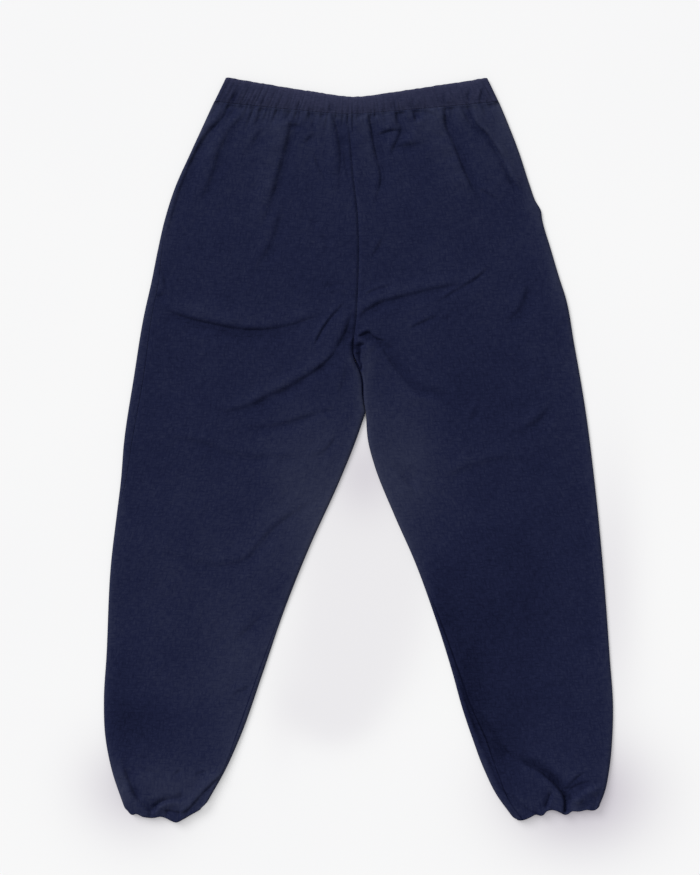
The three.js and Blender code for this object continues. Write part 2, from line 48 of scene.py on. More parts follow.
# ---- Cloth and elastic -----------------------------------------------------------------------
CLOTH = 0.7             # the leg panels' wall
CASING_CLOTH = 0.8      # each layer of the doubled casings
ELASTIC = 1.0
ANKLE_CLOTH = 0.5       # each layer of the ankle casings, pressed flat inside the leg
ANKLE_ELASTIC = 0.8
SEAM_GAP = 0.03         # between two pieces that are sewn together
THIGH_GAP = 0.1         # between the two thighs where they touch
THIGH_LEAN = {"slope": 0.4, "level": 2.6, "reach": 12, "low_y": (20, 60), "above_crotch": 16}
# Painted shade in the hollows of the hidden side.
HOLLOW_SHADE = 0.06       # for each millimetre of a hollow on the hidden side
# Painted shade in the groove of the inner seam, where it has rolled onto the front.
INSEAM_SHADE = {"dye_and_painted_shade": 0.26, "reach": 0.85, "turn": (3, 10), "far_turn": (12, 16), "far": 0.4}
# Painted shade in the line where the two thighs press together.
THIGH_SHADE = {"dye_and_painted_shade": 0.7, "reach": 0.9, "low_y": 50, "high_y": 78}
SIDE_ROUND = 5.0        # how far the cloth takes to turn over a side edge
QUARTER = SIDE_ROUND * math.pi / 2

# ---- Outline ---------------------------------------------------------------------------------
# Rows of y, x, turn. turn is how far the seam has rolled round onto the front.
OUTSEAM = {
    "right": [
        (431, -179, 2), (405, -191, 2), (366, -209, 2), (326, -227, 3), (286, -240, 5),
        (247, -249, 8), (207, -257, 12), (167, -266, 13), (88, -279, 15), (9, -291, 13),
        (-40, -295, 9), (-81, -300, 4), (-140, -307, 2), (-259, -313, 2), (-310, -316, 2),
        (-358, -314, 4), (-398, -306, 4), (-442, -291, 2),
    ],
    "left": [
        (431, 174, 2), (405, 185, 2), (366, 200, 2), (326, 213, 2), (307, 220, 2), (297, 226, 2),
        (285, 228, 2), (247, 239, 2), (207, 251, 2), (192, 256, 2), (129, 268, 2), (47, 282, 2),
        (-31, 292, 2), (-140, 303, 2), (-259, 312, 2), (-320, 316, 2), (-358, 315, 2),
        (-398, 311, 2), (-426, 305, 2), (-441, 299, 2),
    ],
}
INSEAM = {
    "right": [
        (46, 9, 2), (19, 0, 2), (-41, -24, 3), (-120, -60, 3), (-200, -92, 5), (-279, -119, 8),
        (-358, -147, 8), (-398, -165, 5), (-437, -187, 3),
    ],
    "left": [
        (46, 9, 2), (9, 12, 2), (-21, 20, 2), (-81, 44, 2), (-140, 70, 2), (-200, 92, 7),
        (-279, 117, 11), (-319, 128, 14), (-358, 141, 19), (-398, 156, 18), (-430, 172, 17),
        (-452, 188, 18),
    ],
}
# The centre seam from the waist to the crotch, then the line along which the thighs touch.
CENTRE_LINE = [
    (415, -14), (383, -10), (346, -7), (291, -1), (193, -1), (154, -3.5), (136, -6), (120, -6.4),
    (109, -3.5), (99, 1), (90, 4), (80, 5.4), (66, 6), (46, 9),
]
CROTCH_Y = 127
CROTCH_TURN = 22        # below the crotch the flat seam becomes a rounded edge over this
LEAST_TURN = 2          # a seam never lies closer than this to the middle of the side edge
WAIST_ARCH = 0.45       # how soon the waist edge bows down, as a power

WAIST_Y = {"outer": 431, "inner": 415}
ANKLE_Y = {"outer": -442, "inner": -444}
ANKLE_INNER_RISE = {"right": 7, "left": -8}
RIM_REACH = 0.06        # share of the leg over which the shape of the ankle's rim fades out
# How far the rim hangs below a straight line: share from the outer to the inner edge, and drop.
ANKLE_RIM = {
    "right": [
        (0, 0), (0.04, 5), (0.10, 11), (0.14, 10), (0.23, 14), (0.36, 16), (0.44, 15), (0.51, 17.5),
        (0.57, 21), (0.62, 23), (0.71, 19.5), (0.81, 14), (0.93, 7), (1, 0),
    ],
    "left": [
        (0, 0), (0.05, 4), (0.14, 3), (0.23, 4), (0.31, 3.2), (0.38, 6.6), (0.44, 3.2), (0.48, 0.8),
        (0.56, -0.8), (0.60, 0.6), (0.63, 4.2), (0.72, 3.2), (0.78, 6), (0.85, 8.4), (0.92, 7.6),
        (0.97, 4), (1, 0),
    ],
}

# ---- Heights ---------------------------------------------------------------------------------
# Rows of y, middle of the front cloth, level of the two side edges.
LOFT = [
    (431, 7.25, 3.9), (412, 7.2, 3.6), (392, 6.6, 3.3), (350, 6.0, 2.9), (250, 5.8, 2.8),
    (120, 5.6, 2.6), (-100, 5.2, 2.5), (-330, 5.6, 2.7), (-385, 8.2, 3.9), (-420, 10.6, 5.2),
    (-460, 10.6, 5.2),
]
OVER_BACK = 2.6         # the front cloth stays above what lies beneath it
OVER_POCKET = {"above_y": 90, "beside_x": 70, "lowest": 3.7, "reach": 30}
OVER_ANKLE = {"below_y": -412, "lowest": 5.7, "reach": 25}
OVER_SOFTLY = 0.35      # how softly the front cloth is lifted clear of them
BACK_HOLLOW = 1.3       # the deepest hollow on the hidden side

CREASE_WIDTH = 1.7      # the sharp line at the bottom of a fold
# Across a fold, in its own widths: how far out crest and trough lie, and how wide each side is.
CREST = {"out": 1.2, "side": 1.3}
TROUGH = {"out": 0.6, "steep": 1.1, "gentle": 2.2, "reach": 1.6}
# How far the painted shade of a trough spreads on its steep and its gentle side, in fold widths.
TROUGH_SHADE_WIDTH = {"steep": 1.3, "gentle": 3.0}
FOLD_TIP = 0.6          # a fold narrows to this share at its ends
FOLD_REACH = 2.6        # beyond so many widths it no longer shows
# A fold follows its path. Its trough is depth deep and width wide, and its crest rises beside it,
# on the left of the run, or on the right where it is negative. breadth is how far the crest takes
# to die away. starts and ends are the shares of the path over which the fold comes and goes.
Fold = namedtuple("Fold", "path width depth crest breadth crease starts ends")
FRONT_FOLDS = [
    # gathers falling from the waist, from the right side to the left
    Fold([(-173, 430), (-180, 419), (-190, 405)], 2.4, 1, -0.5, 4.5, 0.4, 0.05, 0.5),
    Fold([(-157, 433), (-167, 412), (-186, 392), (-198, 374), (-213, 342), (-223, 314), (-230, 291),
          (-239, 260)], 4.8, 2.3, -1.5, 7, 0.9, 0.08, 0.5),
    Fold([(-159, 429), (-164, 420)], 2.4, 1.3, -0.4, 4.5, 0.6, 0.1, 0.5),
    Fold([(-143, 430), (-149, 422)], 2, 0.8, -0.5, 5.2, 0.3, 0.2, 0.6),
    Fold([(-131, 429), (-136, 420)], 1.6, 0.8, -0.4, 4.5, 0.3, 0.1, 0.5),
    Fold([(-138, 418), (-146, 409), (-159, 394), (-170, 372), (-180, 342), (-192, 314),
          (-200, 295)], 5, 1.3, -2, 14, 0.4, 0.2, 0.5),
    Fold([(-115, 435), (-118, 425), (-125, 417)], 2.2, 1.2, -0.7, 6, 0.5, 0.1, 0.5),
    Fold([(-120, 414), (-125, 407), (-130, 399)], 3, 0.7, -0.5, 6, 0.3, 0.3, 0.5),
    Fold([(-119, 398), (-126, 386), (-133, 374)], 4, 1, -1, 9, 0.25, 0.4, 0.4),
    Fold([(-104, 429), (-101, 418), (-100, 412)], 1.8, 0.6, -0.4, 4.5, 0.2, 0.2, 0.6),
    Fold([(-83, 408), (-85, 392), (-90, 372), (-96, 350), (-105, 316), (-116, 287), (-122, 274)],
         4.8, 1, -2.8, 20, 0.5, 0.06, 0.4),
    Fold([(-74, 423), (-73, 413), (-74, 405)], 2, 1, -0.5, 4.5, 0.4, 0.1, 0.4),
    Fold([(-73, 403), (-75, 394)], 4, 2.2, 0, 3, 0.6, 0.4, 0.4),
    Fold([(-62, 429), (-60, 416), (-57, 402), (-53, 392)], 2.6, 1.6, -0.7, 6, 0.6, 0.15, 0.6),
    Fold([(-54, 391), (-60, 386), (-68, 378)], 3.2, 1.1, -0.5, 5, 0.3, 0.4, 0.4),
    Fold([(-46, 420), (-48, 409)], 2.6, 1.8, -0.4, 4.5, 0.6, 0.1, 0.5),
    Fold([(-56, 368), (-50, 351), (-39, 332)], 1.4, 0.9, -0.5, 4, 0.6, 0.3, 0.3),
    Fold([(-96, 302), (-100, 276), (-106, 258), (-119, 235), (-136, 210)],
         5, 1.4, -0.8, 16, 0.35, 0.25, 0.6),
    Fold([(-35, 420), (-28, 402), (-24, 383), (-22, 370), (-23, 343), (-24, 315)],
         6, 2.1, -1.5, 10, 0.6, 0.2, 0.5),
    Fold([(-22, 423), (-19, 417), (-18, 409)], 1.8, 0.6, -0.4, 4.5, 0.2, 0.1, 0.5),
    Fold([(-19, 371), (-16, 352), (-11, 329)], 2, 0.5, -0.5, 6, 0.2, 0.3, 0.4),
    Fold([(-8, 419), (-6, 410)], 1.6, 0.4, -0.4, 4.5, 0.1, 0.1, 0.5),
    Fold([(2, 420), (2, 409)], 2.4, 1.4, -0.4, 4.5, 0.6, 0.1, 0.5),
    Fold([(14, 423), (15, 409), (19, 380), (26, 350), (28, 339), (24, 316), (17, 298)],
         4, 2.4, -1.3, 8, 1, 0.1, 0.5),
    Fold([(22, 418), (22, 409)], 2.2, 1, -0.4, 4.5, 0.4, 0.1, 0.5),
    Fold([(31, 422), (30, 410)], 2.4, 1.8, -0.4, 4.5, 0.6, 0.1, 0.5),
    Fold([(23, 389), (32, 392), (40, 394), (53, 394)], 3.4, 2.2, 0.8, 7, 0.9, 0.35, 0.3),
    Fold([(46, 423), (49, 411), (53, 400), (51, 389), (44, 374), (40, 360)],
         4.2, 3.3, -1.2, 6, 1.4, 0.1, 0.5),
    Fold([(56, 424), (58, 417)], 1.8, 0.8, -0.4, 4.5, 0.3, 0.1, 0.5),
    Fold([(44, 372), (56, 376), (68, 377), (81, 379)], 5, 2, 1.8, 9, 0.25, 0.4, 0.5),
    Fold([(66, 428), (70, 418), (71, 405)], 3.2, 3.8, -0.7, 6, 2.2, 0.05, 0.3),
    Fold([(82, 420), (90, 416), (100, 409)], 2.2, 0.9, 0.4, 4.5, 0.3, 0.3, 0.5),
    Fold([(107, 430), (108, 423), (108, 406), (120, 376), (133, 343), (146, 315), (152, 296)],
         3.6, 1.8, -2.4, 18, 1.4, 0.06, 0.35),
    Fold([(116, 429), (120, 418)], 1.8, 0.8, -0.4, 4.5, 0.3, 0.1, 0.5),
    Fold([(126, 429), (132, 414), (140, 402), (148, 397)], 1.8, 0.9, -0.7, 5, 0.4, 0.15, 0.5),
    Fold([(136, 434), (140, 420), (144, 406), (161, 387), (175, 365), (189, 336), (202, 316)],
         1.9, 1.8, 2.4, 8, 1.9, 0.06, 0.15),
    Fold([(149, 435), (151, 425)], 2.4, 1.8, -0.4, 4.5, 0.8, 0.1, 0.5),
    Fold([(157, 434), (162, 428), (167, 420)], 2, 1.4, -0.5, 4.5, 0.6, 0.1, 0.4),
    Fold([(144, 326), (163, 315), (181, 303)], 1.6, 0.8, 0.9, 5, 0.4, 0.25, 0.3),
    # the corner of the right pocket
    Fold([(-247, 227), (-242, 215), (-239, 203), (-236, 195)], 2, 0.9, -0.5, 6, 0.4, 0.3, 0.3),
    Fold([(-251, 188), (-245, 190), (-239, 192)], 4, 1.1, 0, 4, 0.5, 0.3, 0.3),
    # folds that hang across the right hip and thigh
    Fold([(-246, 181), (-234, 171), (-209, 161), (-184, 155), (-147, 148), (-110, 148), (-78, 155),
          (-53, 164), (-33, 170)], 5.2, 2.6, 2, 16, 1, 0.2, 0.45),
    Fold([(-18, 181), (-33, 165), (-45, 148), (-55, 128)], 1.6, 0.8, -1, 5, 0.5, 0.1, 0.15),
    Fold([(-8, 170), (-14, 150), (-22, 133), (-30, 119), (-42, 107)],
         4.6, 2.3, -1, 9, 0.8, 0.2, 0.4),
    Fold([(-28, 120), (-40, 108), (-53, 97), (-73, 84), (-90, 74), (-110, 66), (-128, 56),
          (-142, 51), (-162, 47), (-184, 51)], 4, 1.9, -1.4, 10, 0.7, 0.15, 0.4),
    Fold([(-23, 51), (-45, 46), (-70, 38), (-90, 32), (-120, 27), (-152, 29)],
         3.8, 1.7, -0.9, 12, 0.6, 0.4, 0.6),
    Fold([(-28, 15), (-35, 5), (-45, -4), (-60, -10)], 3, 0.7, -0.6, 9, 0.25, 0.2, 0.3),
    Fold([(-14, 103), (-18, 86), (-25, 66)], 3.4, 0.5, -0.7, 9, 0.2, 0.3, 0.4),
    Fold([(-51, -60), (-78, -78), (-104, -98), (-123, -117), (-135, -134), (-158, -143),
          (-190, -143), (-222, -133), (-262, -121)], 4.5, 0.8, -0.8, 16, 0.25, 0.2, 0.5),
    Fold([(-250, 17), (-214, 12), (-187, 5), (-162, -6), (-104, -10), (-62, -9)],
         4, 0.8, 0.6, 12, 0.25, 0.3, 0.2),
    Fold([(-116, -202), (-137, -224), (-159, -239)], 4, 0.9, -0.4, 14.9, 0.3, 0.3, 0.4),
    Fold([(-134, -295), (-146, -300), (-158, -304)], 2.6, 1.1, -0.4, 7.5, 0.4, 0.2, 0.4),
    # the crotch: the deep fold, its pit and the sliver of cloth beside the inseam
    Fold([(-1, 139), (7, 142.5), (12, 144), (17, 139.5), (23, 136), (35, 134)],
         2.6, 3, 0.8, 6, 2.4, 0.25, 0.5),
    Fold([(9, 134), (17, 130), (24, 124)], 3, -1, 0, 4, 0, 0.3, 0.4),
    Fold([(28, 134), (29, 123)], 3, 1.4, 0, 4, 0.8, 0.3, 0.4),
    Fold([(9, 129.5), (3, 128), (0, 126), (0.5, 119)], 1.3, 3.6, 0, 3, 3, 0.3, 0.3),
    Fold([(0.5, 121), (1.2, 112), (2.6, 104), (4.6, 97)], 1.4, 3.4, 0, 2, 2.8, 0.1, 0.2),
    Fold([(-6, 138), (-6.6, 130), (-6.4, 120), (-3.5, 109), (1, 99), (4, 90), (5.4, 80), (6, 62)],
         0.9, 1, 0, 2, 0.9, 0.1, 0.4),
    Fold([(26, 134), (33, 122), (40, 111), (47, 101), (55, 92), (65, 80), (76, 70), (94, 66),
          (113, 54), (132, 42)], 3.6, 2.8, -1.2, 16, 0.9, 0.1, 0.3),
    # folds across the left hip and thigh
    Fold([(2, 160), (7, 169), (14, 174), (29, 182), (49, 187), (69, 192), (89, 197), (113, 202),
          (138, 207), (153, 217), (163, 229), (168, 236)], 4, 1.4, 1.4, 12, 0.6, 0.06, 0.6),
    Fold([(163, 226), (143, 210), (118, 195), (92, 179)], 1.3, 0.4, -0.9, 3, 0.5, 0.15, 0.25),
    Fold([(99, 166), (79, 157), (63, 149)], 2.2, 0.9, -0.7, 7, 0.5, 0.12, 0.15),
    Fold([(242, 63), (232, 46), (220, 33), (203, 24), (183, 16)],
         4.4, 1.4, -1.1, 13, 0.4, 0.4, 0.5),
    Fold([(209, 205), (208, 187), (200, 172), (183, 157)], 4.6, 2, -0.7, 12, 0.6, 0.25, 0.4),
    Fold([(232, 105), (230, 81)], 4, 0.5, -0.7, 10.5, 0.2, 0.3, 0.3),
    Fold([(149, 56), (143, 43), (137, 31)], 3, 1, -0.7, 9, 0.3, 0.3, 0.4),
    Fold([(101, -38), (128, -26), (163, -15), (225, -12)], 5, 0.7, 0.9, 17.9, 0.15, 0.3, 0.4),
    Fold([(42, -21), (56, -36), (73, -53)], 5, 1.7, -0.8, 12, 0.6, 0.4, 0.4),
    Fold([(-62, 284), (-52, 273)], 2.2, 0.9, -0.4, 5, 0.3, 0.3, 0.3),
    Fold([(-48, 264), (-36, 251)], 2.4, 0.9, -0.4, 5, 0.3, 0.3, 0.3),
    Fold([(-46, 198), (-29, 202), (-12, 201)], 1.8, 0.8, -0.4, 5, 0.3, 0.3, 0.3),
    Fold([(30, 263), (25, 251), (16, 238)], 2.6, 1, -0.5, 6, 0.3, 0.3, 0.4),
    Fold([(7, 192), (24, 199), (46, 205)], 1.2, 0.6, 0.8, 3, 0.3, 0.2, 0.3),
    # the right ankle
    Fold([(-294, -383), (-286, -404), (-275, -429), (-262, -443), (-255, -451)],
         3.6, 2.1, -1.4, 9, 0.8, 0.25, 0.05),
    Fold([(-276, -415), (-272, -426), (-269, -438)], 3.4, 0.7, 0, 4, 0.3, 0.3, 0.3),
    Fold([(-255, -451), (-246, -440), (-233, -435), (-218, -436), (-211, -440)],
         2, 1.9, -1.4, 6, 0.8, 0.1, 0.2),
    Fold([(-240, -447), (-230, -449), (-220, -451)], 2, 2.2, 0, 3, 1, 0.2, 0.1),
    Fold([(-168, -403), (-180, -414), (-193, -427), (-203, -438), (-213, -448), (-221, -451)],
         2.6, 0.7, -1.8, 7.5, 0.4, 0.08, 0.08),
    Fold([(-282, -386), (-271, -393), (-256, -399), (-245, -401)],
         1.3, 0.3, 0.3, 4.5, 0.1, 0.3, 0.3),
    Fold([(-278, -376), (-268, -382), (-259, -382)], 1.3, 0.4, 0.4, 4.5, 0.1, 0.3, 0.3),
    Fold([(-203, -403), (-195, -401), (-187, -398)], 3, 0.9, 0, 3, 0.4, 0.3, 0.3),
    Fold([(-224, -397), (-220, -403)], 2.6, 0.7, 0, 3, 0.3, 0.3, 0.3),
    Fold([(-219, -424), (-218, -434)], 2.6, 1.1, 0, 3, 0.5, 0.3, 0.3),
    # the left ankle
    Fold([(148, -320), (158, -338), (168, -354), (179, -370), (191, -383)],
         4.5, 2.8, 0.6, 10, 1.1, 0.6, 0.12),
    Fold([(191, -383), (202, -387), (219, -395), (234, -405), (249, -420), (255, -430),
          (256, -451)], 3, 4.2, -1.6, 10, 3, 0.3, 0.03),
    Fold([(281, -399), (265, -412), (255, -423)], 2.8, 1.1, -0.5, 6, 0.5, 0.3, 0.1),
    Fold([(259, -424), (268, -418), (280, -413), (290, -413)], 4, 2.2, 0, 4, 0.9, 0.2, 0.4),
    Fold([(240, -423), (236, -434), (232, -445)], 2, 1.9, 0.5, 5, 1.3, 0.3, 0.1),
    Fold([(276, -433), (280, -438), (285, -444)], 1.6, 0.9, 0, 3, 0.5, 0.2, 0.2),
    Fold([(262, -439), (272, -430), (284, -422), (302, -415)], 3.2, -2.4, 0, 3, 0, 0.2, 0.2),
    Fold([(190, -425), (200, -438), (213, -448), (226, -454)], 2.2, 0.8, 0.5, 5, 0.4, 0.2, 0.1),
    Fold([(89, -184), (100, -212), (111, -242), (121, -272), (131, -301), (141, -331), (153, -361),
          (166, -391), (179, -420), (192, -436), (208, -449)], 1.3, 1.6, 0.6, 3, 1.3, 0.1, 0.2),
]
# Puckers that cross the waist casing.
BAND_FOLDS = [
    Fold([(-155, 450), (-155, 437), (-159, 427)], 2.2, 0.9, -0.4, 4, 0.4, 0.75, 0.1),
    Fold([(-146, 447), (-151, 438), (-158, 429)], 1.8, 0.8, 0.4, 4, 0.4, 0.75, 0.1),
    Fold([(-166, 446), (-164, 434)], 1.6, 0.6, 0.4, 3, 0.3, 0.4, 0.3),
    Fold([(-139, 434), (-131, 428)], 1.8, 0.6, 0.4, 3, 0.3, 0.4, 0.4),
    Fold([(-118, 439), (-117, 427)], 1.6, 0.7, 0.4, 3, 0.3, 0.4, 0.1),
    Fold([(-72, 431), (-73, 421)], 1.8, 0.7, 0.4, 3, 0.3, 0.4, 0.1),
    Fold([(-36, 430), (-35, 417)], 1.8, 0.7, -0.4, 3, 0.3, 0.4, 0.1),
    Fold([(46, 433), (46, 419)], 1.8, 0.7, 0.4, 3, 0.3, 0.5, 0.1),
    Fold([(69, 436), (68, 421)], 1.8, 0.7, 0.4, 3, 0.3, 0.5, 0.1),
    Fold([(107, 442), (108, 427)], 1.8, 0.7, 0.4, 3, 0.3, 0.5, 0.1),
    Fold([(139, 448), (136, 431)], 1.8, 0.8, 0.4, 3, 0.4, 0.5, 0.1),
    Fold([(154, 450), (150, 432)], 1.8, 0.7, -0.4, 3, 0.4, 0.5, 0.1),
]
# On the hidden side the cloth lies on the floor, so its folds are shallow hollows.
BACK_FOLDS = [
    Fold([(-240, 240), (-160, 205), (-80, 196), (-20, 214)], 4.2, -1.0, 0, 6, 0, 0.3, 0.4),
    Fold([(-30, 150), (-90, 104), (-170, 78), (-235, 84)], 4.2, -1.1, 0, 6, 0, 0.2, 0.4),
    Fold([(-20, 90), (-70, 46), (-130, 22), (-190, 20)], 3.8, -0.9, 0, 5, 0, 0.2, 0.4),
    Fold([(26, 226), (90, 204), (160, 214), (222, 250)], 4.2, -1.1, 0, 6, 0, 0.3, 0.4),
    Fold([(20, 150), (80, 112), (150, 92), (226, 104)], 3.8, -1.0, 0, 5, 0, 0.2, 0.4),
    Fold([(24, 84), (70, 30), (120, -6), (176, -18)], 4.2, -0.9, 0, 6, 0, 0.2, 0.4),
    Fold([(-270, -60), (-210, -96), (-150, -100), (-96, -84)], 3.8, -0.8, 0, 7, 0, 0.3, 0.4),
    Fold([(110, -100), (170, -128), (240, -124), (288, -96)], 3.8, -0.8, 0, 7, 0, 0.3, 0.4),
    Fold([(-296, -340), (-270, -376), (-256, -430)], 3.2, -1.2, 0, 4, 0, 0.3, 0.1),
    Fold([(-170, -350), (-204, -388), (-222, -436)], 3.2, -1.2, 0, 4, 0, 0.3, 0.1),
    Fold([(160, -350), (204, -386), (224, -440)], 3.2, -1.2, 0, 4, 0, 0.3, 0.1),
    Fold([(300, -344), (276, -384), (262, -436)], 3.2, -1.1, 0, 4, 0, 0.3, 0.1),
]

# Small gathers that hang from the waist casing between the larger ones, and climb from the ankles.
WAIST_GATHERS = {
    "spacing": 5.0, "depth": (0.9, 2.8), "width": (1.2, 2.2), "length": (10, 40), "lean": 0.0026,
}
ANKLE_GATHERS = {
    "spacing": 9.0, "depth": (0.2, 0.7), "width": (1.4, 2.6), "length": (10, 30), "lean": 0.004,
}
# How far gathers stray from even spacing and lean, how much shallow and short ones are preferred,
# where they begin to fade, and how much wider they grow.
GATHER = {"stray": 0.38, "lean": 0.12, "shallow": 1.5, "short": 1.8, "fade": 0.1, "open": 0.9}
# The casing holds the cloth level: this share of the relief is left at its edge, all of it beyond.
RELIEF_AT_CASING = 0.5
# How far the casing can pucker before its inner layers and the elastic must give way.
CHANNEL = {"slack": 0.25, "lowest": -1.2, "back_ribs": 0.5, "flat_end": 0.01}
CASING_HOLDS = 4
RIBS_TAKE_OVER = 6      # above the seam the casing's own ribs take over from the gathers
# A seam pulls the cloth down. One that lies on the rounded edge itself hardly shows.
SEAM_DIP = {"depth": 0.12, "on_edge": 0.15, "turn": (4, 12)}
CENTRE_DIP = {"depth": 1.7, "at_waist": 0.2, "down": (4, 36)}
SEAM_WIDTH = 2.0
WAIST_DIP = 0.08
WAIST_DIP_REACH = 1.6
# Painted light and shade, as a share of the way from the cloth's own colour to its palest one.
RIDGE_HIGHLIGHT = 0.02       # for each millimetre that a fold stands up
TROUGH_SHADE = 0.019      # for each millimetre that it lies down
# Painted highlight along the side edges, outer and inner, and how far in it reaches.
EDGE_HIGHLIGHT = {"outer": 0.15, "inner": 0.21, "reach": 6}
# Painted light on the gathers under the waist casing, fading off downwards.
CASING_LIGHT = 0.10      # the gathers beside the waist casing
CASING_LIGHT_REACH = 45

# ---- Casings ---------------------------------------------------------------------------------
WAISTBAND = {
    "left": 174, "right": -179, "lowest_x": 4, "height_at_centre": 21, "height_at_sides": 30,
    "taper": 0.078, "front_middle": 7.2, "back_middle": CASING_CLOTH / 2, "clearance": 0.03,
    "fold_radius": 1.2, "bulge": 0.7,
}
# Ribs run up the waist casing from the gathers. They are deeper at its sides and die away upwards.
RIBS = {
    "depth": (0.2, 0.9), "shallow": 1.3, "at_sides": 1.7, "sides": (110, 170),
    "reach": (0.5, 1.4), "fade": (0.4, 1.1), "faded": 0.75, "lean": 6,
}
RUFFLE = {"height": (-0.3, 0.45), "width": 2.4}
ANKLE_BAND = {
    "height": 15, "inset": 8, "peek": 1.5, "back_middle": 1.1, "front_middle": 4.8,
    "gathers": 20, "gather_height": 0.3, "fold_radius": 0.78,
}
# Shares of a casing's profile: its outer layer, the turn at its folded edge, its inner layer.
LAYER, TURN, INNER_FROM = 0.4, 0.2, 0.6
GIVES_WAY = (0.44, 0.56)        # from here to there the outer shape gives way to the inner one
ELASTIC_EDGE = 3
STITCH_ROW = 2.2        # above the waist casing's lower edge
STITCH_GROOVE = {"depth": 0.3, "width": 0.9}

POCKET = {
    "top_y": 308, "bottom_y": 100, "width": 132, "clear_of_side": 9, "corner": 45,
    "z": 1.7, "thick": 1.2, "swell": 0.1, "soft_edge": 14, "uneven": 0.5,
    "ripple": (0.11, 0.07),
}
POCKET_GRID = (41, 61)

# Soft patches of paler or darker colour, partly faded dye and partly painted light and shade: x, y,
# half-widths, amount.
FADED_LIT_AND_SHADED_PATCHES = [
    (-10, 445, 110, 30, 0.10), (150, 450, 40, 14, 0.04), (-58, -66, 52, 96, 0.16),
    (55, -30, 50, 90, 0.13), (-240, -425, 60, 34, 0.12), (-225, -170, 90, 130, 0.03),
    (-300, -320, 34, 70, -0.05),
    (160, -230, 90, 140, -0.065), (250, -120, 60, 120, -0.02), (-285, 40, 30, 160, -0.02),
    (275, 60, 34, 160, 0.01), (216, 335, 12, 50, 0.10), (248, 228, 12, 50, 0.10),
    (250, -410, 50, 40, 0.02), (-170, 440, 20, 20, -0.03), (186, 395, 20, 44, 0.10),
    (-150, -280, 44, 120, 0.08), (178, -382, 30, 50, -0.06), (100, -215, 20, 50, -0.09),
    (134, -305, 24, 60, -0.12), (150, 60, 60, 60, -0.035), (-275, -335, 38, 26, -0.05),
    (-294, -424, 10, 20, 0.10), (266, -444, 10, 12, 0.10), (205, -440, 30, 14, 0.05),
    (-68, 398, 16, 14, -0.03), (-288, 40, 8, 130, -0.03), (12, 105, 7, 20, 0.09),
    # the deepest folds, with painted shade where they lie in shadow
    (-6.4, 129, 1.1, 10, -0.35), (1, 123, 1.6, 4.5, -0.35), (1, 113, 1.1, 7, -0.3),
    (3.4, 101, 1.1, 6, -0.3),
]

# Painted shadow on the floor, where it is a little darker: between the thighs, beside the left
# leg, under the ankles.
FLOOR_Z = -0.4
FLOOR_SHADE = [
    (8, -30, 40, 50, 0.16), (-97, -311, 24, 75, 0.05),
    (312, -180, 36, 160, 0.15), (-276, -420, 66, 60, 0.30), (272, -430, 90, 66, 0.42),
]
BETWEEN_LEGS = [
    (8, -63, 56, 99, 0.4), (8, -175, 66, 87, 0.3), (-15, -262, 52, 62, 0.3),
    (-35, -325, 42, 34, 0.25),
]
EVEN_SHADE = 0.125      # the shade between the legs is level, so its patches stop here


# ---- Small helpers ---------------------------------------------------------------------------
def lerp(a, b, t):
    return a + (b - a) * t


def smoothstep(x, low, high):
    t = np.clip((x - low) / (high - low), 0, 1)
    return t * t * (3 - 2 * t)


def bump(distance, width):
    return np.exp(-(distance / width) ** 2)


def swell(turns):
    """Rises from 0 to 1 and falls back, once for each turn."""
    return (1 - np.cos(2 * math.pi * turns)) / 2


def column(rows, index):
    """A smooth curve through the rows of a table, as a function of its first column."""
    place = np.array([row[0] for row in rows], float)
    value = np.array([row[index] for row in rows], float)
    if place[0] > place[-1]:
        place, value = place[::-1], value[::-1]
    slope = np.gradient(value, place)

    def at(where):
        where = np.asarray(where, float)
        i = np.clip(np.searchsorted(place, where) - 1, 0, len(place) - 2)
        span = place[i + 1] - place[i]
        t = np.clip((where - place[i]) / span, 0, 1)
        pull = span * (slope[i] * t * (1 - t) ** 2 - slope[i + 1] * t * t * (1 - t))
        inside = lerp(value[i], value[i + 1], t * t * (3 - 2 * t)) + pull
        return inside + np.maximum(where - place[-1], 0) * slope[-1]

    return at


def stations(*spans):
    """Numbers from 0 to 1, with so many steps up to each place."""
    parts = [np.array([0.0])]
    for steps, upto in spans:
        parts.append(np.linspace(parts[-1][-1], upto, steps + 1)[1:])
    return np.concatenate(parts)


def waves(seed, count, shortest, longest, height, stretch=1.0):
    """An uneven, gently rolling surface: many plane waves that cross each other."""
    rng = np.random.default_rng(seed)
    angle = rng.uniform(0, math.pi, count)
    length = rng.uniform(shortest, longest, count)
    phase = rng.uniform(0, 2 * math.pi, count)
    kx = 2 * math.pi * np.cos(angle) / length
    ky = 2 * math.pi * np.sin(angle) / (length * stretch)
    each = height * math.sqrt(2 / count)

    def at(x, y):
        total = np.zeros_like(x)
        for i in range(count):
            total += each * np.sin(kx[i] * x + ky[i] * y + phase[i])
        return total

    return at


loft_top = column(LOFT, 1)
loft_side = column(LOFT, 2)
centre_line = column(CENTRE_LINE, 1)
rolling = waves(seed=11, count=14, shortest=70, longest=190, height=0.45)
crumple = waves(seed=23, count=40, shortest=9, longest=24, height=0.085, stretch=1.3)
fold_unevenness = waves(seed=29, count=12, shortest=16, longest=50, height=0.22)
back_rolling = waves(seed=37, count=14, shortest=60, longest=150, height=0.22)
back_crumple = waves(seed=41, count=40, shortest=10, longest=26, height=0.07, stretch=1.3)


# ---- The plan of a leg -----------------------------------------------------------------------
class Leg:
    """The outline of one leg. inward points from its outer edge to the middle."""

    def __init__(self, side):
        self.side = side
        self.inward = 1 if side == "right" else -1
        self.outer_x = column(OUTSEAM[side], 1)
        self.outer_turn = column(OUTSEAM[side], 2)
        self.inseam_x = column(INSEAM[side], 1)
        self.inner_turn = column(INSEAM[side], 2)
        self.fork_y = INSEAM[side][0][0]
        self.rim_drop = column(ANKLE_RIM[side], 1)
        self.inner_rise = ANKLE_INNER_RISE[side]

    def inner_x(self, y):
        return np.where(y > self.fork_y, centre_line(y), self.inseam_x(y))


LEGS = {"right": Leg("right"), "left": Leg("left")}


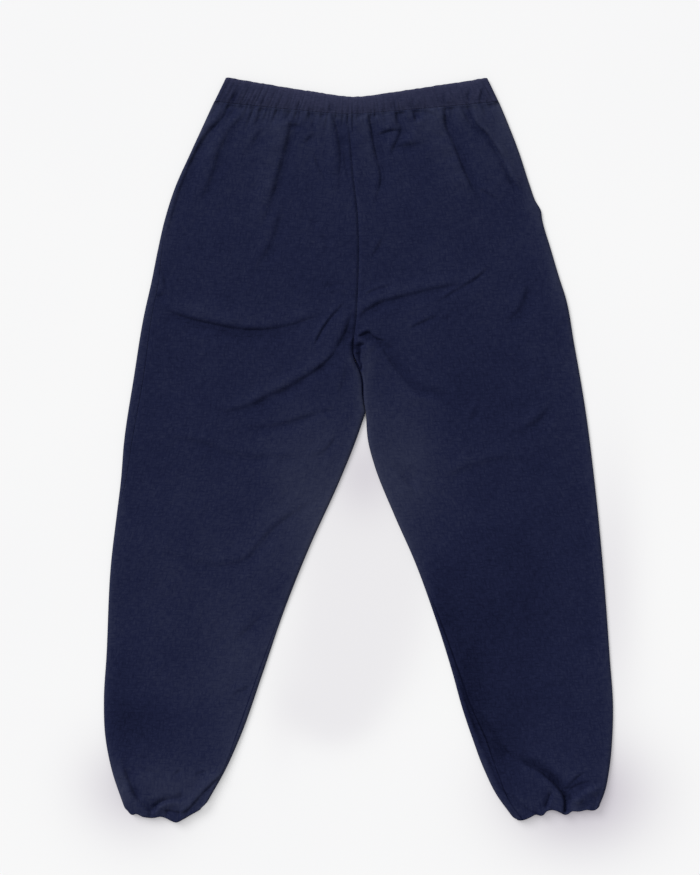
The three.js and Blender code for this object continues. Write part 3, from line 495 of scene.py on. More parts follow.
class AcrossLine:
    """The line across a leg. along is 0 at the waist seam and 1 at the ankle."""

    def __init__(self, leg, along):
        at_ankle = smoothstep(along, 1 - RIM_REACH, 1)
        self.leg = leg
        self.at_ankle = at_ankle
        self.at_waist = 1 - smoothstep(along, 0, RIM_REACH)
        self.outer_y = lerp(WAIST_Y["outer"], ANKLE_Y["outer"], along)
        self.inner_y = lerp(WAIST_Y["inner"], ANKLE_Y["inner"], along) + leg.inner_rise * at_ankle
        self.rounding = smoothstep(CROTCH_Y - self.inner_y, 0, CROTCH_TURN)
        clearance = lerp(SEAM_GAP, THIGH_GAP + CLOTH, self.rounding ** 2) / 2
        self.outer = leg.outer_x(self.outer_y) + leg.inward * CLOTH / 2
        self.inner = leg.inner_x(self.inner_y) - leg.inward * clearance
        self.width = np.hypot(self.inner - self.outer, self.inner_y - self.outer_y)
        self.outer_turn = leg.outer_turn(self.outer_y)
        self.inner_turn = np.maximum(leg.inner_turn(self.inner_y), LEAST_TURN)

    def plan(self, distance):
        """The place at a distance from the outer edge."""
        share = distance / self.width
        x = lerp(self.outer, self.inner, share)
        y = lerp(self.outer_y, self.inner_y, share)
        arch = np.maximum(4 * share * (1 - share), 0) ** WAIST_ARCH
        return x, y - self.at_waist * arch - self.at_ankle * self.leg.rim_drop(share)

    def y_at(self, x):
        """How far up this line lies at x."""
        share = np.clip((x - self.outer) / (self.inner - self.outer), 0, 1)
        return self.plan(share * self.width)[1]

    def upper_way(self, rounded):
        """The whole way across the upper half, from the middle of the outer edge."""
        one_edge = self.width - SIDE_ROUND + QUARTER
        return one_edge - SIDE_ROUND + QUARTER if rounded else one_edge

    def upper(self, way, rounded):
        """Place and lift of a point of the upper half. lift is 0 at the side, 1 on top."""
        distance = SIDE_ROUND + way - QUARTER
        lift = np.ones_like(distance)
        edges = [(way, False), (self.upper_way(rounded) - way, True)]
        for from_edge, inner in edges if rounded else edges[:1]:
            turning = from_edge < QUARTER
            over = SIDE_ROUND * (1 - np.cos(from_edge / SIDE_ROUND))
            distance = np.where(turning, self.width - over if inner else over, distance)
            risen = np.sin(np.clip(from_edge / SIDE_ROUND, 0, math.pi / 2))
            lift = np.where(turning, risen, lift)
        x, y = self.plan(distance)
        return x, y, lift

    def mixed(self, flat, rounded):
        """Above the crotch the inner edge is a flat seam, below it a rounded edge."""
        return [lerp(a, b, self.rounding) for a, b in zip(flat, rounded)]


# ---- Folds and gathers -----------------------------------------------------------------------
def smooth_path(points, step=1.5, fewest=4):
    """Evenly spaced points of a smooth curve through a few."""
    points = np.array(points, float)
    reach = np.concatenate([[0], np.cumsum(np.hypot(*np.diff(points, axis=0).T))])
    count = max(int(reach[-1] / step), fewest)
    where = np.linspace(0, reach[-1], count)
    rows = list(zip(reach, points[:, 0], points[:, 1]))
    return np.stack([column(rows, 1)(where), column(rows, 2)(where)], axis=1)


def fold_profile(fold, distance):
    """Height across a fold, and its painted light and shade. The distance is positive towards the
    crest.

    A highlight is painted on the crest, and shade is painted in the trough.
    """
    beyond = distance - CREST["out"] * fold.width
    crest_width = np.where(beyond < 0, CREST["side"] * fold.width, fold.breadth)
    before = distance + TROUGH["out"] * fold.width
    trough_width = np.where(before > 0, TROUGH["steep"] * fold.width, TROUGH["gentle"] * fold.width)
    crest = abs(fold.crest) * bump(beyond, crest_width)
    trough = fold.depth * bump(before, trough_width)
    shade_width = np.where(distance > 0, TROUGH_SHADE_WIDTH["steep"], TROUGH_SHADE_WIDTH["gentle"]) * fold.width
    shade_depth = (fold.depth + fold.crease) * bump(distance, shade_width)
    painted_fold_light = RIDGE_HIGHLIGHT * crest - TROUGH_SHADE * shade_depth
    return crest - trough - fold.crease * bump(distance, CREASE_WIDTH), painted_fold_light


def fold_field(folds, x, y):
    """The height that the folds add, and their painted light and shade."""
    height, painted_fold_light = np.zeros_like(x), np.zeros_like(x)
    for fold in folds:
        line = smooth_path(fold.path)
        widest = max(fold.width * TROUGH["reach"], fold.breadth)
        reach = FOLD_REACH * widest + fold.width
        low, high = line.min(axis=0) - reach, line.max(axis=0) + reach
        near = (x > low[0]) & (x < high[0]) & (y > low[1]) & (y < high[1])
        if not near.any():
            continue
        off_x = x[near][:, None] - line[:, 0]
        off_y = y[near][:, None] - line[:, 1]
        nearest = np.argmin(off_x ** 2 + off_y ** 2, axis=1)
        run = np.gradient(line, axis=0)
        step = np.hypot(run[:, 0], run[:, 1])
        tx, ty = (run[:, 0] / step)[nearest], (run[:, 1] / step)[nearest]
        each = np.arange(len(nearest))
        ox, oy = off_x[each, nearest], off_y[each, nearest]
        side = 1 if fold.crest >= 0 else -1
        distance = (tx * oy - ty * ox) * side
        along = np.clip((nearest + (tx * ox + ty * oy) / step[nearest]) / (len(line) - 1), 0, 1)
        fade = np.minimum(along / fold.starts, 1) * np.minimum((1 - along) / fold.ends, 1)
        rise, painted_light_tone = fold_profile(fold, distance / lerp(FOLD_TIP, 1, fade))
        fade = fade * (1 + fold_unevenness(x[near], y[near]))
        height[near] += fade * rise
        painted_fold_light[near] += fade * painted_light_tone
    return height, painted_fold_light


Gather = namedtuple("Gather", "start depth width length lean")


def gather_row(style, seed, start, end):
    """Gathers along a stitched edge, unevenly spaced and fanning out from its middle."""
    rng = np.random.default_rng(seed)
    count = int(round((end - start) / style["spacing"]))
    row = []
    for i in range(count):
        at = lerp(start, end, (i + 0.5 + rng.uniform(-GATHER["stray"], GATHER["stray"])) / count)
        depth = lerp(*style["depth"], rng.uniform() ** GATHER["shallow"])
        width = lerp(*style["width"], rng.uniform())
        length = lerp(*style["length"], rng.uniform() ** GATHER["short"])
        fanned = style["lean"] * (at - (start + end) / 2)
        lean = fanned + rng.uniform(-GATHER["lean"], GATHER["lean"])
        row.append(Gather(at, depth, width, length, lean))
    return row


def gathers_height(row, across, down):
    """Short valleys that open out from the stitched edge. down is the way from that edge."""
    height = np.zeros_like(across)
    near = down < max(gather.length for gather in row)
    if not near.any():
        return height
    x, d = across[near], np.maximum(down[near], 0)
    total = np.zeros_like(x)
    for gather in row:
        share = d / gather.length
        strength = gather.depth * (1 - smoothstep(share, GATHER["fade"], 1))
        width = gather.width * (1 + GATHER["open"] * share)
        total -= strength * bump(x - gather.start - gather.lean * d, width)
    height[near] = total
    return height


def waist_stitch(x):
    """Height on the floor plan of the line where the waist casing is sewn on."""
    x = np.asarray(x, float)
    y = np.empty_like(x)
    for leg in LEGS.values():
        line = AcrossLine(leg, np.zeros(1))
        mine = x < CENTRE_LINE[0][1] if leg.side == "right" else x >= CENTRE_LINE[0][1]
        y = np.where(mine, line.y_at(x), y)
    return y


FRONT_SEED, BACK_SEED, ANKLE_SEED = 5, 15, 7
FRONT_GATHERS = gather_row(WAIST_GATHERS, FRONT_SEED, WAISTBAND["right"], WAISTBAND["left"])
BACK_GATHERS = gather_row(WAIST_GATHERS, BACK_SEED, WAISTBAND["right"], WAISTBAND["left"])


def lowest_front(x, y):
    """The front cloth stays above the back, higher above the pockets and the ankle casings."""
    above = smoothstep(y, OVER_POCKET["above_y"] - OVER_POCKET["reach"], OVER_POCKET["above_y"])
    beside_x = OVER_POCKET["beside_x"]
    beside = smoothstep(np.abs(x), beside_x - OVER_POCKET["reach"], beside_x)
    below_y = OVER_ANKLE["below_y"]
    over_ankle = 1 - smoothstep(y, below_y, below_y + OVER_ANKLE["reach"])
    over_pocket = lerp(OVER_BACK, OVER_POCKET["lowest"], above * beside)
    return lerp(over_pocket, OVER_ANKLE["lowest"], over_ankle)


def front_relief(x, y):
    """Folds, gathers and crumples, held down beside the casing, and the folds' painted light and
    shade.
    """
    folds, painted_fold_light = fold_field(FRONT_FOLDS, x, y)
    down = waist_stitch(x) - y
    relief = folds + rolling(x, y) + crumple(x, y) + gathers_height(FRONT_GATHERS, x, down)
    held = np.maximum(relief * RELIEF_AT_CASING, CHANNEL["lowest"])
    return lerp(held, relief, smoothstep(down, 0, CASING_HOLDS)), painted_fold_light


def front_height(leg, x, y):
    """The height of the front cloth, with the gathers of its ankle, and its folds' painted light
    and shade.
    """
    relief, painted_fold_light = front_relief(x, y)
    height = loft_top(y) + relief
    rim = AcrossLine(leg, np.ones(1))
    row = gather_row(ANKLE_GATHERS, ANKLE_SEED, *sorted([float(rim.outer[0]), float(rim.inner[0])]))
    height += gathers_height(row, x, y - rim.y_at(x))
    lowest = lowest_front(x, y)
    return lowest + OVER_SOFTLY * np.logaddexp(0, (height - lowest) / OVER_SOFTLY), painted_fold_light


def back_height(x, y):
    """The hidden side rests on the floor, apart from the hollows of its folds."""
    height = fold_field(BACK_FOLDS, x, y)[0] + back_rolling(x, y) + back_crumple(x, y)
    height -= gathers_height(BACK_GATHERS, x, waist_stitch(x) - y)
    return CLOTH / 2 + np.clip(height, 0, BACK_HOLLOW)


# ---- Leg panels ------------------------------------------------------------------------------
def front_panel(leg, across, along):
    """The front of a leg, from seam to seam: its middle surface, its cut map and its painted light
    and shade.
    """
    u, v = np.meshgrid(across, along)
    line = AcrossLine(leg, v)
    start = line.outer_turn + SEAM_GAP / 2
    flat_end = line.upper_way(False)
    round_end = line.upper_way(True) - line.inner_turn - SEAM_GAP / 2
    flat_way, round_way = lerp(start, flat_end, u), lerp(start, round_end, u)
    x, y, lift = line.mixed(line.upper(flat_way, False), line.upper(round_way, True))
    way = lerp(flat_way, round_way, line.rounding)
    to_end = lerp(flat_end - flat_way, round_end - round_way, line.rounding)
    down = waist_stitch(x) - y
    dip = seam_dip(line.outer_turn) * bump(way - start, SEAM_WIDTH)
    freed = smoothstep(down, *CENTRE_DIP["down"])
    centre_dip = CENTRE_DIP["depth"] * lerp(CENTRE_DIP["at_waist"], 1, freed)
    dip += lerp(centre_dip, seam_dip(line.inner_turn), line.rounding) * bump(to_end, SEAM_WIDTH)
    dip += WAIST_DIP * bump(np.maximum(down, 0), WAIST_DIP_REACH)
    side = loft_side(y)
    height, painted_fold_light = front_height(leg, x, y)
    z = side + (height - dip - side) * lift
    # The painted light and shade of the front: its folds, edges, the thighs, the inseam and the
    # casing.
    painted_light_tone = painted_fold_light + painted_edge_highlight(line, x) - painted_thigh_shade(line, x, y) - painted_inseam_shade(line, to_end)
    painted_light_tone += CASING_LIGHT * np.exp(-np.maximum(down, 0) / CASING_LIGHT_REACH)
    return facing_out(leg, leaned(np.stack([x, y, z], axis=-1)), cut_map(line, way), painted_light_tone)


def leaned(points):
    """Between the thighs the lower cloth slips a little under the other leg's upper cloth."""
    x, y, z = points[..., 0], points[..., 1], points[..., 2]
    apart = smoothstep(y, CROTCH_Y, CROTCH_Y + THIGH_LEAN["above_crotch"])
    touching = smoothstep(y, *THIGH_LEAN["low_y"]) * (1 - apart)
    shift = THIGH_LEAN["slope"] * (THIGH_LEAN["level"] - z)
    shift *= bump(x - centre_line(y), THIGH_LEAN["reach"])
    return np.stack([x + shift * touching, y, z], axis=-1)


def seam_dip(turn):
    """How far the cloth dips at a seam: more where it lies on the front."""
    return SEAM_DIP["depth"] * lerp(SEAM_DIP["on_edge"], 1, smoothstep(turn, *SEAM_DIP["turn"]))


def painted_edge_highlight(line, x):
    """Painted highlight: the side edges are painted paler, as the light catches them."""
    outer = np.exp(-np.abs(x - line.outer) / EDGE_HIGHLIGHT["reach"])
    inner = np.exp(-np.abs(x - line.inner) / EDGE_HIGHLIGHT["reach"])
    return EDGE_HIGHLIGHT["outer"] * outer + EDGE_HIGHLIGHT["inner"] * inner * line.rounding


def painted_inseam_shade(line, from_seam):
    """Painted shade in the groove of the inner seam, where it has rolled round onto the front."""
    rolled = smoothstep(line.inner_turn, *INSEAM_SHADE["turn"])
    rolled = rolled * lerp(1, INSEAM_SHADE["far"], smoothstep(line.inner_turn, *INSEAM_SHADE["far_turn"]))
    return INSEAM_SHADE["dye_and_painted_shade"] * rolled * line.rounding * bump(from_seam, INSEAM_SHADE["reach"])


def painted_thigh_shade(line, x, y):
    """Painted shade where the two thighs press together."""
    touching = smoothstep(y, THIGH_SHADE["low_y"], THIGH_SHADE["high_y"])
    crease = bump(x - line.inner, THIGH_SHADE["reach"])
    return THIGH_SHADE["dye_and_painted_shade"] * touching * line.rounding * crease


def facing_out(leg, *fields):
    """The two legs mirror each other, so one of them is turned to keep its right side out."""
    return [field[:, ::-1] if leg.side == "right" else field for field in fields]


def cut_map(line, way):
    """Where each point lies on the flat cut, in metres from the leg's middle line."""
    middle_y = (line.outer_y + line.inner_y) / 2
    return np.stack([(way - line.width / 2) * MM, middle_y * MM], axis=-1)


# Across the back, five zones: the strip rolled onto the front at the inner edge, that edge, the
# flat back, the outer edge, and the strip rolled onto the front there.
ZONES = (0, 0.2, 0.4, 0.6, 0.8, 1)


def back_panel(leg, across, along):
    """The back takes in both side edges, and the strips that have rolled onto the front."""
    u, v = np.meshgrid(across, along)
    line = AcrossLine(leg, v)
    level = np.zeros(u.shape)

    def within(k):
        return np.clip((u - ZONES[k]) / (ZONES[k + 1] - ZONES[k]), 0, 1)

    def upper(rounded, way, dip):
        x, y, lift = line.upper(way, rounded)
        side = loft_side(y)
        return x, y, side + (front_height(leg, x, y)[0] - dip - side) * lift

    def lower(distance, risen):
        x, y = line.plan(distance)
        return x, y, lerp(back_height(x, y), loft_side(y), 1 - np.cos(risen * math.pi / 2))

    inner_strip = line.inner_turn - SEAM_GAP / 2
    left = lerp(inner_strip, 0, within(0))
    from_inseam = inner_strip - left
    inner_dip = seam_dip(line.inner_turn) * bump(from_inseam, SEAM_WIDTH)
    way = within(4) * (line.outer_turn - SEAM_GAP / 2)
    from_outseam = line.outer_turn - SEAM_GAP / 2 - way
    outer_dip = seam_dip(line.outer_turn) * bump(from_outseam, SEAM_WIDTH)
    parts = (
        lower(line.width - SIDE_ROUND * np.clip(u / ZONES[2], 0, 1), level),
        upper(True, line.upper_way(True) - left, inner_dip),
        lower(line.width - SIDE_ROUND * (1 - np.cos(within(1) * math.pi / 2)), 1 - within(1)),
        lower(lerp(line.width - SIDE_ROUND, SIDE_ROUND, within(2)), level),
        lower(SIDE_ROUND * (1 - np.sin(within(3) * math.pi / 2)), within(3)),
        upper(False, way, outer_dip),
    )
    out = []
    for flat, strip, edge, middle, outer_edge, last in zip(*parts):
        inner = lerp(flat, np.where(u < ZONES[1], strip, edge), line.rounding)
        zones = [u <= ZONES[2], u <= ZONES[3], u <= ZONES[4]]
        out.append(np.select(zones, [inner, middle, outer_edge], last))
    points = np.stack(out, axis=-1)
    steps = np.linalg.norm(np.diff(points, axis=1), axis=-1)
    way = np.concatenate([np.zeros((len(v), 1)), np.cumsum(steps, axis=1)], axis=1)
    way -= way[:, [way.shape[1] // 2]]
    middle_y = (line.outer_y + line.inner_y) / 2
    cut = np.stack([way * MM, middle_y * MM], axis=-1)
    x, y = points[..., 0], points[..., 1]
    # The painted light and shade of the back: its edges, the thighs, its hollows, the inseam and
    # strips.
    painted_light_tone = painted_edge_highlight(line, x) - painted_thigh_shade(line, x, y)
    painted_light_tone -= HOLLOW_SHADE * fold_field(BACK_FOLDS, x, y)[0]
    painted_light_tone -= np.where(u < ZONES[1], painted_inseam_shade(line, from_inseam), 0)
    on_front = (u < ZONES[1]) | (u > ZONES[4])
    painted_light_tone[on_front] += front_relief(x[on_front], y[on_front])[1]
    return facing_out(leg, leaned(points), cut, painted_light_tone)


# ---- Casings: a doubled band round a flattened opening -----------------------------------------
def run_and_share(round_):
    """The run of the loop that each place is on, and the share of that run."""
    return np.floor(round_).astype(int) % 4, round_ - np.floor(round_)


def up_the_band(profile):
    """0 at the sewn edge and 1 at the folded one, on either layer."""
    return np.clip(np.minimum(profile, 1 - profile) / LAYER, 0, 1)


def band_loop(band, round_, inward):
    """round_ runs to 1 along the front, to 2 round the left end, to 3 along the back, to 4."""
    run, share = run_and_share(round_)
    front, back = band["front_middle"], band["back_middle"]
    radius = (front - back) / 2
    angle = math.pi / 2 - share * math.pi
    reach = (radius - inward) * np.cos(angle)
    turned = (front + back) / 2 + np.where(run == 1, 1, -1) * (radius - inward) * np.sin(angle)
    across = np.select([run == 0, run == 1, run == 2], [share, 1.0, 1 - share], 0.0)
    beyond = np.select([run == 1, run == 3], [reach, -reach], 0.0)
    z = np.select([run == 0, run == 2], [front - inward, back + inward], turned)
    return across, beyond, z


def band_surface(band, plan, height, round_, profile):
    """A doubled band: up its outer layer, round its folded edge and down its inner layer."""
    r, p = np.meshgrid(round_, profile)
    on_outer = np.clip(p / LAYER, 0, 1)
    on_inner = np.clip((p - INNER_FROM) / LAYER, 0, 1)
    turn = np.clip((p - LAYER) / TURN, 0, 1) * math.pi
    across, beyond, z = band_loop(band, r, band["fold_radius"] * (1 - np.cos(turn)))
    to_fold = np.where(on_inner > 0, 1 - on_inner, on_outer)
    x, y = plan(across, beyond, to_fold, band["fold_radius"] * np.sin(turn))
    return np.stack([x, y, z + height(r, p, x, y)], axis=-1)


# A painted highlight along the waist casing's folded top edge, and the painted shade of its
# puckers.
BAND_PAINTED_LIGHT = {"edge": 0.12, "reach": 2.4, "puckers": 4}
WAIST_RADIUS = (WAISTBAND["front_middle"] - WAISTBAND["back_middle"] + CASING_CLOTH) / 2


def on_waist(share):
    """The place along the waist casing, from its right end to its left one."""
    return lerp(WAISTBAND["right"] + WAIST_RADIUS, WAISTBAND["left"] - WAIST_RADIUS, share)


def waist_plan(across, beyond, to_fold, past_fold):
    """The casing stands on its stitched line, a little lower in the middle than at the sides."""
    even = on_waist(across)
    x = even + beyond
    sideways = np.minimum(np.abs(x - WAISTBAND["lowest_x"]) / WAISTBAND["left"], 1)
    height = lerp(WAISTBAND["height_at_centre"], WAISTBAND["height_at_sides"], sideways)
    layer = height - WAISTBAND["fold_radius"] - CASING_CLOTH / 2 + FRONT_RUFFLE(across)
    y = waist_stitch(even) + WAISTBAND["clearance"] + to_fold * layer + past_fold
    return x * (1 - WAISTBAND["taper"] * to_fold), y


def casing_ribs(row, seed):
    """The gathers run on over the casing as ribs, and each one tugs at its folded edge."""
    rng = np.random.default_rng(seed)
    depth = lerp(*RIBS["depth"], rng.uniform(size=len(row)) ** RIBS["shallow"])
    at_side = smoothstep(np.abs([gather.start for gather in row]), *RIBS["sides"])
    depth *= lerp(1, RIBS["at_sides"], at_side)
    reach = rng.uniform(*RIBS["reach"], len(row))
    ruffle = rng.uniform(*RUFFLE["height"], len(row))
    fade_from, fade_to = RIBS["fade"]

    def ribs(share, up):
        height = np.zeros_like(share)
        for i, gather in enumerate(row):
            faded = smoothstep(up, fade_from * reach[i], fade_to * reach[i]) * RIBS["faded"]
            off = on_waist(share) - gather.start + RIBS["lean"] * gather.lean * up
            height -= depth[i] * (1 - faded) * bump(off, gather.width)
        return height

    def edge(share):
        height = np.zeros_like(share)
        for i, gather in enumerate(row):
            height += ruffle[i] * bump(on_waist(share) - gather.start, RUFFLE["width"])
        return height

    return ribs, edge


FRONT_RIB_SEED, BACK_RIB_SEED = 51, 52
FRONT_RIBS, FRONT_RUFFLE = casing_ribs(FRONT_GATHERS, FRONT_RIB_SEED)
BACK_RIBS = casing_ribs(BACK_GATHERS, BACK_RIB_SEED)[0]
# The relief of the front where the casing is sewn on, at close steps.
SEAM_X = np.linspace(WAISTBAND["right"], WAISTBAND["left"], 1500)
SEAM_RELIEF = front_relief(SEAM_X, waist_stitch(SEAM_X))[0]


def waist_height(r, p, x, y):
    """The outer layers pucker freely. The inner ones and the elastic give way where they must."""
    run, share = run_and_share(r)
    up = up_the_band(p)
    above_seam = up * WAISTBAND["height_at_centre"]
    groove = STITCH_GROOVE["depth"] * bump(above_seam - STITCH_ROW, STITCH_GROOVE["width"])
    bulge = WAISTBAND["bulge"] * swell(up) - groove
    bulge -= WAIST_DIP * bump(above_seam, WAIST_DIP_REACH)
    own = smoothstep(above_seam, 0, RIBS_TAKE_OVER)
    front = lerp(np.interp(x, SEAM_X, SEAM_RELIEF), FRONT_RIBS(share, up), own) + bulge
    front = np.maximum(front + fold_field(BAND_FOLDS, x, y)[0], CHANNEL["lowest"])
    back = -CHANNEL["back_ribs"] * BACK_RIBS(1 - share, up)
    inside = smoothstep(p, *GIVES_WAY)
    front = lerp(front, np.minimum(front + CHANNEL["slack"], 0), inside)
    back = lerp(back, np.maximum(back - CHANNEL["slack"], 0), inside)
    flat_end = CHANNEL["flat_end"]
    near_end = smoothstep(share, 0, flat_end) * smoothstep(1 - share, 0, flat_end)
    return np.select([run == 0, run == 2], [front * near_end, np.maximum(back * near_end, 0)], 0.0)


def painted_waist_light(profile, middle):
    """A highlight painted along the folded top edge, and the painted light and shade of the
    puckers.
    """
    from_edge = (1 - up_the_band(profile)) * WAISTBAND["height_at_centre"]
    puckers = fold_field(BAND_FOLDS, middle[..., 0], middle[..., 1])[1]
    return BAND_PAINTED_LIGHT["edge"] * bump(from_edge, BAND_PAINTED_LIGHT["reach"]) + BAND_PAINTED_LIGHT["puckers"] * puckers


def ankle_plan(leg):
    """The hem is turned to the inside: its folded edge hangs just below the leg's rim."""
    middle = ANKLE_BAND["fold_radius"] + ANKLE_CLOTH / 2 - ANKLE_BAND["peek"]

    def plan(across, beyond, to_fold, past_fold):
        line = AcrossLine(leg, np.ones_like(across))
        radius = (ANKLE_BAND["front_middle"] - ANKLE_BAND["back_middle"] + ANKLE_CLOTH) / 2
        inset = ANKLE_BAND["inset"] + radius
        on_outer_side = across if leg.inward > 0 else 1 - across
        distance = lerp(inset, line.width - inset, on_outer_side) + leg.inward * beyond
        x, y = line.plan(distance)
        return x, y + middle + (1 - to_fold) * ANKLE_BAND["height"] - past_fold

    return plan


def ankle_height(r, p, x, y):
    """The front layers of the hem are gathered, the hidden ones lie flat."""
    run, share = run_and_share(r)
    gathered = ANKLE_BAND["gather_height"] * swell(ANKLE_BAND["gathers"] * share)
    return np.where(run == 0, -gathered * (1 - smoothstep(p, *GIVES_WAY)), 0.0)


def elastic_surface(band, plan, height, band_height, round_, profile):
    """The elastic inside a casing, clear of its sewn edge and its fold."""
    r, p = np.meshgrid(round_, profile)
    edge = ELASTIC_EDGE / band_height
    up = lerp(edge, 1 - edge, p)
    across, beyond, z = band_loop(band, r, band["fold_radius"])
    x, y = plan(across, beyond, up, 0)
    return np.stack([x, y, z + height(r, 1 - LAYER * up, x, y)], axis=-1)


def round_stations(front, end, back):
    """Places round a casing, with so many steps along each run."""
    steps = (front, end, back, end)
    return np.concatenate([np.linspace(k, k + 1, n, endpoint=False) for k, n in enumerate(steps)])


# ---- Meshes ----------------------------------------------------------------------------------
def in_scene(name, data):
    """A new object, linked to the scene."""
    made = bpy.data.objects.new(name, data)
    bpy.context.scene.collection.objects.link(made)
    return made


def point_values(mesh, name, values):
    """Gives each point of a mesh a value that its material reads by name."""
    values = values.astype(np.float32)
    mesh.attributes.new(name, "FLOAT", "POINT").data.foreach_set("value", values)


def surface_normals(middle, around):
    """Which way a grid of points faces, at each of them."""
    if around:
        along_u = np.roll(middle, -1, axis=1) - np.roll(middle, 1, axis=1)
    else:
        along_u = np.gradient(middle, axis=1)
    along_v = np.gradient(middle, axis=0)
    normal = np.cross(along_u, along_v)
    return normal / np.maximum(np.linalg.norm(normal, axis=-1, keepdims=True), 1e-9)


def patches(table, points):
    """The sum of soft round patches at each point."""
    x, y = points[..., 0], points[..., 1]
    tone = np.zeros(x.shape)
    for middle_x, middle_y, wide, long, amount in table:
        tone += amount * np.exp(-((x - middle_x) / wide) ** 2 - ((y - middle_y) / long) ** 2)
    return tone


def mesh_piece(name, points, faces, places, painted_light_tone, material):
    """faces and places are matching lists: the two sides come first, then the cut edges."""
    corners = np.concatenate([f.ravel() for f in faces]).astype(np.int32)
    sizes = np.concatenate([np.full(len(f), f.shape[1]) for f in faces])
    starts = np.concatenate([[0], np.cumsum(sizes)[:-1]]).astype(np.int32)
    mesh = bpy.data.meshes.new(name)
    mesh.vertices.add(len(points))
    mesh.vertices.foreach_set("co", (points * MM).astype(np.float32).ravel())
    mesh.loops.add(len(corners))
    mesh.loops.foreach_set("vertex_index", corners)
    mesh.polygons.add(len(starts))
    mesh.polygons.foreach_set("loop_start", starts)
    mesh.update(calc_edges=True)
    smooth = np.arange(len(starts)) < len(faces[0]) + len(faces[1])
    mesh.polygons.foreach_set("use_smooth", smooth)
    cut = np.concatenate([place.reshape(-1, 2) for place in places]).astype(np.float32)
    mesh.uv_layers.new(name="cut").data.foreach_set("uv", cut.ravel())
    # The paler and darker patches and the painted light and shade reach the material as one value.
    point_values(mesh, "fading_and_painted_light", patches(FADED_LIT_AND_SHADED_PATCHES, points) + painted_light_tone)
    mesh.validate()
    mesh.materials.append(material)
    return in_scene(name, mesh)


def hidden_side(outer, normal, thickness):
    """Every second point of the side that nobody sees, kept clear of the creases above it."""
    rows, cols = outer.shape[:2]
    around = 2      # it looks this many points each way for a crease
    padded = np.pad(outer, ((around, around), (around, around), (0, 0)), mode="edge")
    inward = np.zeros((rows, cols))
    for j, i in np.ndindex(2 * around + 1, 2 * around + 1):
        near = padded[j:j + rows, i:i + cols]
        inward = np.maximum(inward, -((near - outer) * normal).sum(axis=-1))
    return (outer - normal * (thickness + inward)[..., None])[::2, ::2]


def shell(name, middle, thickness, uv, material, around=False, painted_light_tone=None):
    """A closed wall on both sides of a surface. uv has one more column where it goes around."""
    rows, cols = middle.shape[:2]
    step = 1 if around else 2
    last = cols if around else cols - 1
    normal = surface_normals(middle, around)
    outer = middle + normal * thickness / 2
    inner = middle - normal * thickness / 2 if around else hidden_side(outer, normal, thickness)
    inner_cols = inner.shape[1]
    points = np.concatenate([outer.reshape(-1, 3), inner.reshape(-1, 3)])
    points[:, 2] = np.maximum(points[:, 2], 0)
    faces, places = [], []

    def add(*corners):
        """Each corner is its layer, 0 outside and 1 inside, then its row and column outside."""
        index = [
            row * cols + col % cols if layer == 0
            else rows * cols + (row // step) * inner_cols + (col // step) % inner_cols
            for layer, row, col in corners
        ]
        faces.append(np.stack([k.ravel() for k in index], axis=1))
        places.append(np.stack([uv[row, col].reshape(-1, 2) for _, row, col in corners], axis=1))

    j, i = np.meshgrid(np.arange(rows - 1), np.arange(last), indexing="ij")
    add((0, j, i), (0, j, i + 1), (0, j + 1, i + 1), (0, j + 1, i))
    j, i = np.meshgrid(np.arange(0, rows - 1, step), np.arange(0, last, step), indexing="ij")
    add((1, j, i), (1, j + step, i), (1, j + step, i + step), (1, j, i + step))
    half = step // 2
    i = np.arange(0, last, step)
    for edge, way in ((0, 1), (rows - 1, -1)):
        row = np.full_like(i, edge)
        here, there = (i, i + step) if way > 0 else (i + step, i)
        rim = [(0, row, here), (1, row, here), (1, row, there), (0, row, there)]
        add(*(rim + [(0, row, i + half)] if half else rim))
    if not around:
        j = np.arange(0, rows - 1, step)
        for edge, way in ((0, -1), (cols - 1, 1)):
            col = np.full_like(j, edge)
            here, there = (j, j + step) if way > 0 else (j + step, j)
            rim = [(0, here, col), (1, here, col), (1, there, col), (0, there, col)]
            add(*rim, (0, j + half, col))
    all_painted_light_tone = np.zeros(len(points))
    if painted_light_tone is not None:
        all_painted_light_tone[:rows * cols] = painted_light_tone.ravel()
    return mesh_piece(name, points, faces, places, all_painted_light_tone, material)


def ring_map(middle):
    """Cut map of a band that closes on itself: way round, then way across, in metres."""
    closed = np.concatenate([middle, middle[:, :1]], axis=1)
    around = np.linalg.norm(np.diff(closed, axis=1), axis=-1)[len(middle) // 4]
    across = np.linalg.norm(np.diff(middle, axis=0), axis=-1)[:, 0]
    u = np.concatenate([[0], np.cumsum(around)])
    v = np.concatenate([[0], np.cumsum(across)])
    return np.stack(np.meshgrid(u, v), axis=-1) * MM


# ---- Materials -------------------------------------------------------------------------------
def paint(hex_code):
    """An sRGB colour, as written on a swatch card, turned to linear."""
    channels = [int(hex_code[k:k + 2], 16) / 255 for k in (1, 3, 5)]
    linear = [c / 12.92 if c <= 0.04045 else ((c + 0.055) / 1.055) ** 2.4 for c in channels]
    return (*linear, 1.0)


def node(tree, kind, links=None, values=None, stops=(), **settings):
    """Adds a node, with its settings, its fixed values, what feeds it and any colour stops."""
    made = tree.nodes.new(kind)
    for key, value in settings.items():
        setattr(made, key, value)
    for key, value in (values or {}).items():
        made.inputs[key].default_value = value
    for key, source in (links or {}).items():
        tree.links.new(source, made.inputs[key])
    for k, (position, colour) in enumerate(stops):
        ramp = made.color_ramp.elements
        stop = ramp[k] if k < len(ramp) else ramp.new(position)
        stop.position, stop.color = position, paint(colour)
    return made


def new_material(name):
    """A material whose node tree is still empty, and that tree."""
    material = bpy.data.materials.new(name)
    material.use_nodes = True
    material.node_tree.nodes.clear()
    return material, material.node_tree


